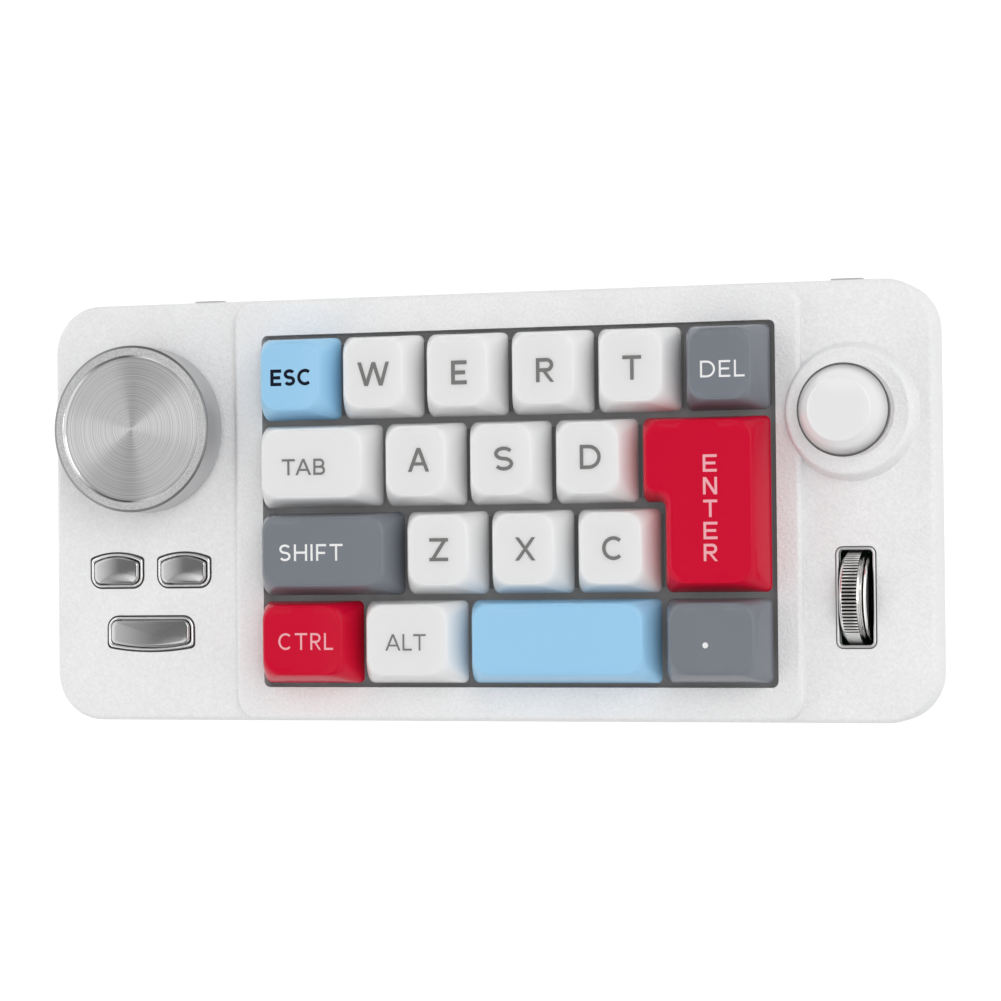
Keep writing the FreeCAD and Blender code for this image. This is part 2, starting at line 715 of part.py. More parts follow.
def make_cap(name, corners, mounts, x, y):
    """A hollow keycap: full walls, rounded shoulder, dished top and the sockets for its stem."""
    height = s.cap_height.value
    sections = [
        rounded_wire(drawn_in(corners, share, more), radius, level)
        for level, share, more, radius in cap_levels()
    ]
    outside = Part.makeLoft(sections, True, True)

    ceiling = height - s.cap_dish.value - s.cap_roof.value
    wall = s.cap_wall.value
    inner_base = sharp_wire(drawn_in(corners, 0.0, wall), 0.0)
    inner_top = sharp_wire(drawn_in(corners, ceiling / height, wall), ceiling)
    inside = Part.makeLoft([inner_base, inner_top], True, True)

    left = min(point[0] for point in corners)
    right = max(point[0] for point in corners)
    half_top = (right - left) / 2 - s.cap_side.value
    dish = s.cap_dish.value
    dish_radius = (half_top ** 2 + dish ** 2) / (2 * dish)
    depth = 2 * max(abs(point[1]) for point in corners)
    scoop = Part.makeCylinder(
        dish_radius,
        2 * depth,
        Vector((left + right) / 2, -depth, height + dish_radius - dish),
        Vector(0, 1, 0),
    )
    cap = outside.cut(inside)
    for mount_x, mount_y in mounts:
        cap = cap.fuse(rod(s.mount_radius, 0.0, ceiling + s.cap_roof.value / 2, mount_x, mount_y))
    cap = cap.cut(scoop)
    slot_span = s.cross_span + 2 * s.cross_fit
    slot_arm = s.cross_arm + 2 * s.cross_fit
    for mount_x, mount_y in mounts:
        cap = cap.cut(cross(slot_span, slot_arm, -1.0, s.cross_height + s.cross_fit, mount_x, mount_y))
    return add_shape("cap_%s" % name, cap, x, y, cap_base)


def make_stem(name, mounts, x, y):
    """The sliding piece of a switch, with the stabiliser stems of a long key beside it."""
    solids = []
    for mount_x, mount_y in mounts:
        across = s.stem_width if (mount_x, mount_y) == (0.0, 0.0) else s.stem_depth
        body = block(across, s.stem_depth, -stem_length, 0.0, mount_x, mount_y)
        post = cross(s.cross_span, s.cross_arm, -s.housing_floor, s.cross_height, mount_x, mount_y)
        solids.append(body.fuse(post).removeSplitter())
    shape = solids[0] if len(solids) == 1 else Part.makeCompound(solids)
    return add_shape("stem_%s" % name, shape, x, y, cap_base)


def housing_shape():
    """One switch housing round its middle, with the board's top at zero."""
    half = s.switch_body.value / 2
    top_half = s.switch_top.value / 2
    plate = s.plate_to_board.value
    shoulder = plate + s.flange_height.value
    top = plate + s.switch_height.value
    square = [(-1, 1), (1, 1), (1, -1), (-1, -1)]
    lower = block(s.switch_body, s.switch_body, 0.0, plate)
    flange = block(s.switch_flange, s.switch_flange, plate, shoulder)
    taper = Part.makeLoft(
        [
            sharp_wire([(half * x, half * y) for x, y in square], shoulder),
            sharp_wire([(top_half * x, top_half * y) for x, y in square], top),
        ],
        True,
        True,
    )
    peg = rod(s.peg_radius, -s.board_thickness, 0.0)
    whole = lower.fuse([flange, taper, peg]).removeSplitter()
    return whole.cut(guide_hole(s.stem_width + 2 * s.slide_fit, top))


def guide_hole(width, top):
    """The space in which a stem slides."""
    return block(width, s.stem_depth + 2 * s.slide_fit, s.housing_floor, top + 1.0)


def guide_shape(turned):
    """One stabiliser guide round its middle, with the board's top at zero."""
    top = (s.plate_to_board + s.switch_height).value
    width, depth = (s.guide_depth, s.guide_width) if turned else (s.guide_width, s.guide_depth)
    return block(width, depth, 0.0, top).cut(guide_hole(s.stem_depth + 2 * s.slide_fit, top))


def list_keys():
    """Every key: name, middle, base corners, places of its mounts and whether they run front to back."""
    keys = []
    reach = s.guide_reach.value
    for name, column, row, width in KEYS:
        x, y = key_place(column, row, width)
        mounts = [(0.0, 0.0)]
        if width > 2:
            mounts += [(-reach, 0.0), (reach, 0.0)]
        keys.append((name, x, y, key_corners(width), mounts, False))
    middle = (ENTER_STEP_COLUMN + ENTER_END_COLUMN) / 2
    x = keys_x + (middle - KEY_COLUMNS / 2) * s.key_pitch
    y = keys_y + (KEY_ROWS / 2 - ENTER_ROW - 1) * s.key_pitch
    mounts = [(0.0, 0.0), (0.0, -reach), (0.0, reach)]
    keys.append(("enter", x, y, enter_corners(), mounts, True))
    return keys


def make_keys(keys):
    """The keycaps, their stems and the switch housings."""
    made = []
    housings = []
    for name, x, y, corners, mounts, turned in keys:
        made.append(make_cap(name, corners, mounts, x, y))
        made.append(make_stem(name, mounts, x, y))
        for mount_x, mount_y in mounts:
            shape = housing_shape() if (mount_x, mount_y) == (0.0, 0.0) else guide_shape(turned)
            shape.translate(Vector(float(x) + mount_x, float(y) + mount_y, 0))
            housings.append(shape)
    made.append(add_shape("switch_housings", Part.makeCompound(housings), 0, 0, board_top))
    return made


def make_plate(keys):
    """The switch plate, with a square hole for each switch and stabiliser guide."""
    width = well_width + 2 * s.plate_lap
    depth = well_depth + 2 * s.plate_lap
    blank = make_box("plate_blank", keys_x, keys_y, plate_under, width, depth, s.plate_thickness)
    holes = []
    side = s.switch_body + 2 * s.switch_fit
    guide_across = s.guide_width + 2 * s.switch_fit
    guide_along = s.guide_depth + 2 * s.switch_fit
    deep = s.plate_thickness * 3
    low = plate_under - s.plate_thickness
    for name, x, y, corners, mounts, turned in keys:
        holes.append(make_box("hole_%s" % name, x, y, low, side, side, deep))
        for number, way in enumerate((-1, 1)):
            if len(mounts) == 1:
                continue
            label = "guide_hole_%s_%d" % (name, number)
            if turned:
                at = y + way * s.guide_reach
                holes.append(make_box(label, x, at, low, guide_along, guide_across, deep))
            else:
                at = x + way * s.guide_reach
                holes.append(make_box(label, at, y, low, guide_across, guide_along, deep))
    return take_away("switch_plate", blank, join("plate_holes", holes))


def make_board(keys):
    """The circuit board, cut out for the thumb wheel, the switch pegs and the screws."""
    body = new_body("circuit_board")
    spare = 2 * (s.wall + s.board_gap)
    sketch = new_sketch(body, "board_outline", 0, middle_y, board_under)
    draw_rounded(sketch, body_width - spare, body_depth - spare, s.board_corner)
    pad(body, sketch, s.board_thickness, "board")
    sketch = new_sketch(body, "board_wheel", wheel_x, wheel_y, board_top)
    draw_rectangle(sketch, wheel_width + 2 * s.cheek_gap, 2 * (s.wheel_radius + s.wheel_room))
    pocket(body, sketch, s.board_thickness, "wheel_opening")
    sketch = new_sketch(body, "board_pegs", 0, 0, board_top)
    draw_circles(sketch, [(key[1], key[2]) for key in keys], s.peg_radius + s.peg_fit)
    pocket(body, sketch, s.board_thickness, "peg_holes")
    sketch = new_sketch(body, "board_screws", 0, 0, board_top)
    draw_circles(sketch, post_places, s.screw_shank + s.screw_fit)
    pocket(body, sketch, s.board_thickness, "screw_holes")
    return body


def arched_block(width, depth, arch, grow, low, high, way):
    """A block whose back edge (way 1) or front edge (way -1) bows out, with round upright edges."""
    half = width.value / 2 + grow
    deep = depth.value / 2 + grow
    rise = arch.value
    points = [Vector(-half, -deep, 0), Vector(half, -deep, 0), Vector(half, deep - rise, 0)]
    end = Vector(-half, deep - rise, 0)
    lines = [Part.LineSegment(points[0], points[1]), Part.LineSegment(points[1], points[2])]
    lines.append(Part.Arc(points[2], Vector(0, deep, 0), end))
    lines.append(Part.LineSegment(end, points[0]))
    face = Part.Face(Part.Wire([line.toShape() for line in lines]))
    shape = face.extrude(Vector(0, 0, float(high) - float(low)))
    shape = shape.makeFillet(s.button_corner.value + grow, edges_along(shape, Vector(0, 0, 1)))
    if way < 0:
        shape = shape.mirror(Vector(0, 0, 0), Vector(0, 1, 0))
    shape.translate(Vector(0, 0, float(low)))
    return shape


def list_buttons():
    """The three bright buttons: name, middle, width, depth, arch and the way the arch faces."""
    small_y = middle_y - s.button_front
    wide_y = middle_y - s.wide_front
    return [
        ("button_left", button_x - s.button_spread, small_y, s.small_width, s.small_depth, s.small_arch, 1),
        ("button_right", button_x + s.button_spread, small_y, s.small_width, s.small_depth, s.small_arch, 1),
        ("button_wide", button_x, wide_y, s.wide_width, s.wide_depth, s.wide_arch, -1),
    ]


def make_buttons():
    """The bright buttons, each with the flange that keeps it in and the pusher under it."""
    made = []
    flange_top = (-s.roof - s.rest_gap).value
    flange_low = flange_top - s.flange_thick.value
    stop = board_top + s.tact_height + s.tact_plunger + s.button_travel + s.rest_gap
    for name, x, y, width, depth, arch, way in list_buttons():
        proud = s.button_proud.value
        body = arched_block(width, depth, arch, 0.0, flange_low, proud, way)
        body = body.makeFillet(s.button_dome.value, flat_edges(body, proud))
        flange = arched_block(width, depth, arch, s.button_flange.value, flange_low, flange_top, way)
        pusher = rod(s.pusher_radius, stop - wing_top, flange_low)
        made.append(add_shape(name, body.fuse([flange, pusher]).removeSplitter(), x, y, wing_top))
    return made


def make_rims():
    """The bright rims round the buttons and round the thumb wheel's slot."""
    rims = []
    low = -s.rim_depth.value
    high = s.rim_proud.value
    fit = s.button_fit.value
    band = s.rim_band.value
    soften = band / 3
    for name, x, y, width, depth, arch, way in list_buttons():
        outer = arched_block(width, depth, arch, fit + band, low, high, way)
        outer = outer.makeFillet(soften, flat_edges(outer, high))
        rim = outer.cut(arched_block(width, depth, arch, fit, low, high, way))
        rim.translate(Vector(float(x), float(y), 0))
        rims.append(rim)
    outer = slot_block(band, low, high)
    outer = outer.makeFillet(soften, flat_edges(outer, high))
    rims.append(outer.cut(slot_block(0.0, low, high)))
    return add_shape("metal_rims", Part.makeCompound(rims), 0, 0, wing_top)


def slot_block(grow, low, high):
    """The block that fills the thumb wheel's slot, grown all round."""
    width = s.slot_width + 2 * grow
    depth = s.slot_depth + 2 * grow
    return rounded_block(width, depth, s.slot_corner + grow, low, high, wheel_x, wheel_y)


def roof_openings():
    """What is cut out of the roof for the buttons, the wheel and their rims."""
    tools = []
    low = -s.roof.value - 1.0
    high = s.rim_proud.value + 1.0
    seat = -s.rim_depth.value
    fit = s.button_fit.value
    rim = s.rim_band.value + s.rim_fit.value
    ledge = s.ledge.value
    for name, x, y, width, depth, arch, way in list_buttons():
        hole = arched_block(width, depth, arch, fit + ledge, low, high, way)
        opening = hole.fuse(arched_block(width, depth, arch, fit + rim, seat, high, way))
        opening.translate(Vector(float(x), float(y), 0))
        tools.append(opening)
    tools.append(slot_block(ledge, low, high).fuse(slot_block(rim, seat, high)))
    return add_shape("roof_openings", Part.makeCompound(tools), 0, 0, wing_top)


def wall_openings():
    """What is cut out of the back wall for the shoulder buttons and the cable socket."""
    tools = []
    deep = s.wall.value * 3
    wide = s.shoulder_width + 2 * s.slide_fit
    high = s.shoulder_height + 2 * s.slide_fit
    for x in shoulder_places:
        tools.append(wall_block(wide, high, s.shoulder_corner + s.slide_fit, -deep, deep, x, shoulder_z))
    wide = s.socket_width + 2 * s.socket_fit
    high = s.socket_height + 2 * s.socket_fit
    middle = board_top + s.socket_height / 2
    tools.append(wall_block(wide, high, high / 2.2, -deep, deep, keys_x, middle))
    return add_shape("wall_openings", Part.makeCompound(tools), 0, back_wall, 0)


def wall_block(width, height, radius, near, far, x, z):
    """A block that runs front to back through the back wall, with round long edges."""
    corner = Vector(float(x) - float(width) / 2, float(near), float(z) - float(height) / 2)
    shape = Part.makeBox(float(width), float(far) - float(near), float(height), corner)
    return shape.makeFillet(float(radius), edges_along(shape, Vector(0, 1, 0)))


def make_top_case():
    """The upper shell: wings, raised centre, stick collar, key well and screw posts."""
    body = new_body("top_shell")
    sketch = new_sketch(body, "wing_outline", 0, middle_y, split)
    draw_rounded(sketch, body_width, body_depth, s.body_corner)
    wings = pad(body, sketch, wing_top - split, "wings")
    round_edges(body, wings, s.edge_round, "wing_round", lies_at(wing_top))

    sketch = new_sketch(body, "centre_outline", (centre_left + centre_right) / 2, middle_y, split)
    centre_depth = body_depth - 2 * s.centre_inset
    draw_rounded(sketch, centre_width, centre_depth, s.centre_corner)
    centre = pad(body, sketch, centre_top - split, "centre")
    round_edges(body, centre, s.centre_round, "centre_softened", lies_at(centre_top))

    collar_top = wing_top + s.collar_height
    lip_under = collar_top - s.collar_dish
    sketch = new_sketch(body, "collar_profile", stick_x, stick_y, 0, "XZ_Plane")
    draw_polygon(sketch, [
        (0, roof_under),
        (s.collar_radius, roof_under),
        (s.collar_radius, wing_top),
        (s.collar_top_radius, collar_top),
        (s.collar_lip, collar_top),
        (s.stick_hole, lip_under),
        (0, lip_under),
    ])
    collar = body.newObject("PartDesign::Revolution", "collar")
    collar.Profile = sketch
    collar.ReferenceAxis = (sketch, ["V_Axis"])
    collar.Angle = 360
    doc.recompute()

    def collar_edge(edge):
        box = edge.BoundBox
        outer = box.XLength > 2 * s.collar_top_radius.value - 0.01
        return outer and lies_at(collar_top)(edge)

    round_edges(body, collar, s.collar_dish * 0.7, "collar_softened", collar_edge)

    sketch = new_sketch(body, "room_outline", 0, middle_y, split)
    inner_corner = s.body_corner - s.wall
    draw_rounded(sketch, body_width - 2 * s.wall, body_depth - 2 * s.wall, inner_corner)
    pocket(body, sketch, roof_under - split, "room", reverse=True)

    skirt_width = well_width + 2 * s.well_skirt
    skirt_depth = well_depth + 2 * s.well_skirt
    sketch = new_sketch(body, "skirt_outline", keys_x, keys_y, plate_top)
    draw_rounded(sketch, skirt_width, skirt_depth, s.well_corner + s.well_skirt)
    pad(body, sketch, centre_top - plate_top - s.centre_round, "skirt")
    sketch = new_sketch(body, "well_outline", keys_x, keys_y, centre_top)
    draw_rounded(sketch, well_width, well_depth, s.well_corner)
    pocket(body, sketch, centre_top - plate_top, "well")

    sketch = new_sketch(body, "post_circles", 0, 0, board_top)
    draw_circles(sketch, post_places, s.post_radius)
    pad(body, sketch, wing_top - s.roof / 2 - board_top, "posts")
    sketch = new_sketch(body, "thread_circles", 0, 0, board_top)
    draw_circles(sketch, post_places, s.screw_shank + s.thread_fit)
    pocket(body, sketch, s.screw_bite + s.screw_fit, "threads", reverse=True)

    sketch = new_sketch(body, "dial_circle", 0, 0, wing_top)
    draw_circles(sketch, [(dial_x, dial_y)], s.bush_radius + s.bush_fit)
    pocket(body, sketch, 2 * s.roof, "dial_hole")
    sketch = new_sketch(body, "stick_circle", 0, 0, collar_top)
    draw_circles(sketch, [(stick_x, stick_y)], s.stick_hole)
    pocket(body, sketch, s.collar_height + 2 * s.roof, "stick_opening")

    cuts = join("case_cuts", [roof_openings(), wall_openings()])
    return take_away("top_case", body, cuts)


def make_bottom_case():
    """The lower shell: walls that draw in, floor, posts under the board, foot and screw recesses."""
    body = new_body("bottom_case")
    outer = new_sketch(body, "joint_outline", 0, middle_y, split)
    draw_rounded(outer, body_width, body_depth, s.body_corner)
    under = new_sketch(body, "under_outline", 0, middle_y, case_under)
    under_corner = s.body_corner - s.draw_in / 2
    draw_rounded(under, body_width - 2 * s.draw_in, body_depth - 2 * s.draw_in, under_corner)
    shell = body.newObject("PartDesign::AdditiveLoft", "outside")
    shell.Profile = outer
    shell.Sections = [under]
    doc.recompute()
    round_edges(body, shell, s.under_round, "under_softened", lies_at(case_under))

    inner = new_sketch(body, "inner_joint", 0, middle_y, split)
    draw_rounded(inner, body_width - 2 * s.wall, body_depth - 2 * s.wall, s.body_corner - s.wall)
    inset = 2 * (s.draw_in + s.wall - s.draw_in * s.floor / s.split_height)
    low = new_sketch(body, "inner_floor", 0, middle_y, floor_top)
    draw_rounded(low, body_width - inset, body_depth - inset, under_corner - s.wall)
    room = body.newObject("PartDesign::SubtractiveLoft", "inside")
    room.Profile = inner
    room.Sections = [low]
    doc.recompute()

    sketch = new_sketch(body, "post_circles_low", 0, 0, floor_top - s.floor / 2)
    draw_circles(sketch, post_places, s.post_radius)
    pad(body, sketch, board_under - floor_top + s.floor / 2, "posts_low")
    sketch = new_sketch(body, "head_circles", 0, 0, case_under)
    draw_circles(sketch, post_places, s.screw_head + s.screw_fit)
    pocket(body, sketch, s.screw_sink + s.screw_head_height, "head_recesses", reverse=True)
    sketch = new_sketch(body, "shank_circles", 0, 0, case_under)
    draw_circles(sketch, post_places, s.screw_shank + s.screw_fit)
    pocket(body, sketch, board_under - case_under, "shank_holes", reverse=True)
    for number, (x, y) in enumerate(foot_places()):
        sketch = new_sketch(body, "foot_outline_%d" % number, x, y, case_under)
        width = s.foot_length + 2 * s.foot_fit
        depth = s.foot_width + 2 * s.foot_fit
        draw_rounded(sketch, width, depth, depth / 2.2)
        pocket(body, sketch, s.foot_sunk, "foot_recess_%d" % number, reverse=True)
    return body


def foot_places():
    """The middles of the four foot pads."""
    return [
        (aside * (body_width / 2 - s.foot_side), middle_y + ahead * (body_depth / 2 - s.foot_end))
        for aside in (-1, 1)
        for ahead in (-1, 1)
    ]


def make_feet():
    """Four long soft pads in recesses of the lower shell."""
    pads = []
    for x, y in foot_places():
        high = s.foot_proud + s.foot_sunk
        pads.append(rounded_block(s.foot_length, s.foot_width, s.foot_width / 2.2, 0.0, high, x, y))
    return add_shape("feet", Part.makeCompound(pads))


def make_screws():
    """The screws that hold the two shells and the board together."""
    screws = []
    seat = case_under + s.screw_sink + s.screw_head_height
    tip = board_top + s.screw_bite
    for number, (x, y) in enumerate(post_places):
        head_low = case_under + s.screw_sink
        head = make_cylinder("head_%d" % number, x, y, head_low, s.screw_head, s.screw_head_height)
        shank = make_cylinder("shank_%d" % number, x, y, seat, s.screw_shank, tip - seat)
        screws.append(join("screw_%d" % number, [head, shank]))
    return gather("case_screws", screws)


def turn_profile(label, points, x, y, z):
    """A turned piece: a profile of radius and height round an upright axis."""
    body = new_body(label)
    sketch = new_sketch(body, "%s_profile" % label, 0, 0, 0, "XZ_Plane")
    draw_polygon(sketch, points)
    turned = body.newObject("PartDesign::Revolution", "%s_turned" % label)
    turned.Profile = sketch
    turned.ReferenceAxis = (sketch, ["V_Axis"])
    turned.Angle = 360
    bind_place(body, x, y, z)
    return body


def make_dial():
    """The dial: flat ring, polished slope, sunk disc, hollow underside and its shaft."""
    low = wing_top + s.dial_gap
    high = s.dial_height
    ring = s.dial_radius - s.dial_chamfer
    slope = ring - s.dial_rim
    disc = slope - s.dial_slope
    foot = board_top + s.shaft_foot - low
    ceiling = s.dial_height - s.dial_web
    return turn_profile("dial_knob", [
        (0, foot),
        (s.shaft_radius, foot),
        (s.shaft_radius, ceiling),
        (s.dial_hollow, ceiling),
        (s.dial_hollow, 0),
        (s.dial_radius - s.dial_under, 0),
        (s.dial_radius, s.dial_under),
        (s.dial_radius, high - s.dial_chamfer),
        (ring, high),
        (slope, high),
        (disc, high - s.dial_sink),
        (0, high - s.dial_sink),
    ], dial_x, dial_y, low)


def make_encoder():
    """The dial's encoder, with the bush that passes the roof and guides the shaft."""
    side = s.encoder_side
    block_item = make_box("encoder_block", dial_x, dial_y, board_top, side, side, roof_under - board_top)
    bush = make_cylinder("encoder_bush", dial_x, dial_y, roof_under, s.bush_radius, s.bush_rise)
    low = board_top + s.shaft_foot - s.travel_spare
    deep = roof_under + s.bush_rise - low + 1
    bore = make_cylinder("encoder_bore", dial_x, dial_y, low, s.shaft_radius + s.shaft_fit, deep)
    return take_away("dial_encoder", join("encoder_solid", [block_item, bush]), bore)


def make_tact_switches():
    """The small switches: one under each bright button, one before each shoulder button."""
    switches = []
    for name, x, y, width, depth, arch, way in list_buttons():
        low = board_top + s.tact_height
        base = make_box("%s_base" % name, x, y, board_top, s.tact_side, s.tact_side, s.tact_height)
        plunger = make_cylinder("%s_plunger" % name, x, y, low, s.tact_button, s.tact_plunger)
        switches.append(join("%s_switch" % name, [base, plunger]))
    tip = back_wall - s.wall - 2 * s.rest_gap - s.flange_thick - s.shoulder_travel
    face = tip - s.tact_plunger
    height = shoulder_z + s.tact_side / 2 - board_top
    depth = s.tact_depth
    for number, x in enumerate(shoulder_places):
        name = "shoulder_%d" % number
        base = make_box("%s_base" % name, x, face - depth / 2, board_top, s.tact_side, depth, height)
        plunger = make_cylinder("%s_plunger" % name, x, face, shoulder_z, s.tact_button, s.tact_plunger)
        plunger.Placement.Rotation = FreeCAD.Rotation(Vector(1, 0, 0), -90)
        switches.append(join("shoulder_switch_%d" % number, [base, plunger]))
    return gather("tact_switches", switches)


def make_shoulders():
    """The two shoulder buttons in the back wall, each with its inner flange."""
    made = []
    inner = -s.wall - s.rest_gap
    rear = inner - s.flange_thick
    grow = 2 * s.button_flange
    for label, x in zip(("shoulder_left", "shoulder_right"), shoulder_places):
        width = s.shoulder_width
        height = s.shoulder_height
        cap = wall_block(width, height, s.shoulder_corner, rear, s.shoulder_proud, 0, 0)
        flange = wall_block(width + grow, height + grow, s.shoulder_corner, rear, inner, 0, 0)
        made.append(add_shape(label, cap.fuse(flange).removeSplitter(), x, back_wall, shoulder_z))
    return made


def make_cable_socket():
    """The cable socket: a rounded metal shell with its tongue, open to the back."""
    height = s.socket_height
    length = s.socket_length
    shell = s.socket_shell
    outer = wall_block(s.socket_width, height, height / 2.2, -length, 0.0, 0, 0)
    inner_height = height - 2 * shell
    inner_width = s.socket_width - 2 * shell
    inner = wall_block(inner_width, inner_height, inner_height / 2.2, -length + 4 * shell, 1.0, 0, 0)
    tongue_width = s.socket_width - s.socket_height
    tongue = block(tongue_width, length - 3 * shell, 0.0, s.tongue_thick, 0, -(length + 3 * shell) / 2)
    tongue.translate(Vector(0, 0, -s.tongue_thick.value / 2))
    socket = outer.cut(inner).fuse(tongue).removeSplitter()
    return add_shape("cable_socket", socket, keys_x, back_wall - s.socket_back, board_top + height / 2)


def side_rod(radius, start, end, along):
    """A cylinder round a level axis through the pivot, along X or Y."""
    return Part.makeCylinder(float(radius), float(end) - float(start), along * float(start), along)


def make_stick():
    """The thumbstick: mushroom cap, neck, the dome that closes the collar and the hub with its pins."""
    rim = s.stick_rise.value
    wide = s.stick_cap_radius.value
    flat = s.stick_cap_top.value
    top = rim + s.stick_cap_height.value
    under = rim - s.stick_cap_under.value
    sunk = top - s.stick_cap_dish.value
    neck = s.stick_neck.value
    stalk = s.stalk_radius.value
    skirt = s.dome_skirt.value
    dome = s.dome_radius.value
    inner = dome - s.dome_shell.value
    edge = s.stick_cap_under.value

    def on_ball(radius, across):
        return Vector(across, 0, math.sqrt(radius ** 2 - across ** 2))

    def at_level(radius, level):
        return Vector(math.sqrt(radius ** 2 - level ** 2), 0, level)

    def halfway(radius, first, last):
        return (first + last).normalize() * radius

    inner_top = on_ball(inner, stalk)
    inner_end = at_level(inner, skirt)
    outer_end = at_level(dome, skirt)
    outer_top = on_ball(dome, neck)
    foot = wide - s.stick_cap_ledge.value
    outward = Vector(top - rim, 0, foot - flat).normalize()
    swell = Vector((foot + flat) / 2, 0, (rim + top) / 2) + outward * s.stick_cap_swell.value
    dish_radius = (flat ** 2 + (top - sunk) ** 2) / (2 * (top - sunk))
    dip = Vector(flat / 2, 0, sunk + dish_radius - math.sqrt(dish_radius ** 2 - flat ** 2 / 4))
    edges = [
        Part.LineSegment(Vector(0, 0, 0), Vector(stalk, 0, 0)),
        Part.LineSegment(Vector(stalk, 0, 0), inner_top),
        Part.Arc(inner_top, halfway(inner, inner_top, inner_end), inner_end),
        Part.LineSegment(inner_end, outer_end),
        Part.Arc(outer_end, halfway(dome, outer_end, outer_top), outer_top),
        Part.LineSegment(outer_top, Vector(neck, 0, under)),
        Part.LineSegment(Vector(neck, 0, under), Vector(wide - edge, 0, under)),
        Part.LineSegment(Vector(wide - edge, 0, under), Vector(wide, 0, rim)),
        Part.LineSegment(Vector(wide, 0, rim), Vector(foot, 0, rim)),
        Part.Arc(Vector(foot, 0, rim), swell, Vector(flat, 0, top)),
        Part.Arc(Vector(flat, 0, top), dip, Vector(0, 0, sunk)),
        Part.LineSegment(Vector(0, 0, sunk), Vector(0, 0, 0)),
    ]
    profile = Part.Face(Part.Wire([piece.toShape() for piece in edges]))
    turned = profile.revolve(Vector(0, 0, 0), Vector(0, 0, 1), 360)
    hub = Part.makeSphere(s.ball_radius.value)
    pins = side_rod(s.pin_radius, -s.ring_outer, s.ring_outer, Vector(1, 0, 0))
    return add_shape("stick_cap", turned.fuse([hub, pins]), stick_x, stick_y, pivot_z)


def make_gimbal():
    """The gimbal ring: it turns in the module and the stick turns in it."""
    half = s.ring_height.value / 2
    ring = rod(s.ring_outer, -half, half).cut(rod(s.ring_inner, -half, half))
    cup_inside = s.module_cup - s.module_wall
    end = cup_inside + s.module_wall * 0.8
    middle = (s.ring_inner + s.ring_outer) / 2
    for way in (-1, 1):
        ring = ring.fuse(side_rod(s.pin_radius, middle, end, Vector(0, way, 0)))
    ring = ring.removeSplitter()
    bore = side_rod(s.pin_radius + s.pin_fit, -2 * s.ring_outer, 2 * s.ring_outer, Vector(1, 0, 0))
    return add_shape("stick_gimbal", ring.cut(bore), stick_x, stick_y, pivot_z)


def make_module():
    """The base of the stick: a square foot on the board and a cup with the gimbal's bearings."""
    low = board_top - pivot_z
    base_top = low + s.module_base
    base = block(s.module_side, s.module_side, low, base_top)
    cup = rod(s.module_cup, base_top, s.module_rise)
    room = rod(s.module_cup - s.module_wall, low + s.module_wall, s.module_rise + 1)
    holes = side_rod(s.pin_radius + s.pin_fit, -2 * s.module_cup, 2 * s.module_cup, Vector(0, 1, 0))
    module = base.fuse(cup).cut(room).cut(holes).removeSplitter()
    return add_shape("stick_module", module, stick_x, stick_y, pivot_z)


def make_wheel():
    """The thumb wheel: ribbed band, smooth ring and axle."""
    count = int(float(s.rib_count))
    outer = s.wheel_radius.value
    inner = outer - s.rib_depth.value
    land_end = 3 * count // 2
    land_start = land_end - 2 * int(float(s.land_ribs))
    points = []
    for number in range(2 * count):
        angle = math.pi * number / count
        smooth = land_start < number < land_end
        r = outer if smooth or number % 2 == 0 else inner
        points.append((r * math.cos(angle), r * math.sin(angle)))
    half = wheel_width.value / 2
    band_end = s.wheel_band.value - half
    band = Part.Face(sharp_wire(points, -half)).extrude(Vector(0, 0, s.wheel_band.value))
    ring = rod(s.wheel_radius - s.wheel_ring_drop, band_end, half)
    ring = ring.makeChamfer(s.wheel_ring_drop.value, flat_edges(ring, half))
    axle = rod(s.axle_radius, -half - s.axle_reach, half + s.axle_reach)
    wheel = band.fuse([ring, axle]).removeSplitter()
    wheel.rotate(Vector(0, 0, 0), Vector(0, 1, 0), 90)
    return add_shape("thumb_wheel", wheel, wheel_x, wheel_y, wheel_z)


def make_wheel_bracket():
    """The two cheeks that carry the wheel's axle on the board."""
    cheeks = []
    high = wheel_z + s.axle_radius * 2 - board_top
    away = (wheel_width + s.cheek_thick) / 2 + s.cheek_gap
    for number, x in enumerate((wheel_x - away, wheel_x + away)):
        cheek = make_box("cheek_%d" % number, x, wheel_y, board_top, s.cheek_thick, s.cheek_width, high)
        radius = s.axle_radius + s.shaft_fit
        start = x - s.cheek_thick
        bore = make_cylinder("bore_%d" % number, start, wheel_y, wheel_z, radius, 2 * s.cheek_thick)
        bore.Placement.Rotation = FreeCAD.Rotation(Vector(0, 1, 0), 90)
        cheeks.append(take_away("bored_cheek_%d" % number, cheek, bore))
    return gather("wheel_bracket", cheeks)


def write_parts(parts):
    """Checks every object of the document and writes one file for each sub-part."""
    doc.recompute()
    for item in doc.Objects:
        if "Invalid" in item.State or "Error" in item.State:
            raise RuntimeError("%s failed: %s" % (item.Label, item.State))
    for part in parts:
        if part.Shape.isNull() or not part.Shape.isValid():
            raise RuntimeError("%s has no valid shape" % part.Label)
    os.makedirs("parts", exist_ok=True)
    for part in parts:
        part.Shape.exportStep("parts/%s.step" % part.Label)


all_keys = list_keys()
subparts = [
    make_top_case(),
    make_bottom_case(),
    make_plate(all_keys),
    make_board(all_keys),
    make_dial(),
    make_encoder(),
    make_rims(),
    make_tact_switches(),
    make_stick(),
    make_gimbal(),
    make_module(),
    make_wheel(),
    make_wheel_bracket(),
    make_cable_socket(),
    make_feet(),
    make_screws(),
]
subparts += make_keys(all_keys)
subparts += make_buttons()
subparts += make_shoulders()
write_parts(subparts)
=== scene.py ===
import json
import math

import bmesh
import bpy
from mathutils import Matrix, Vector
from mathutils.geometry import delaunay_2d_cdt


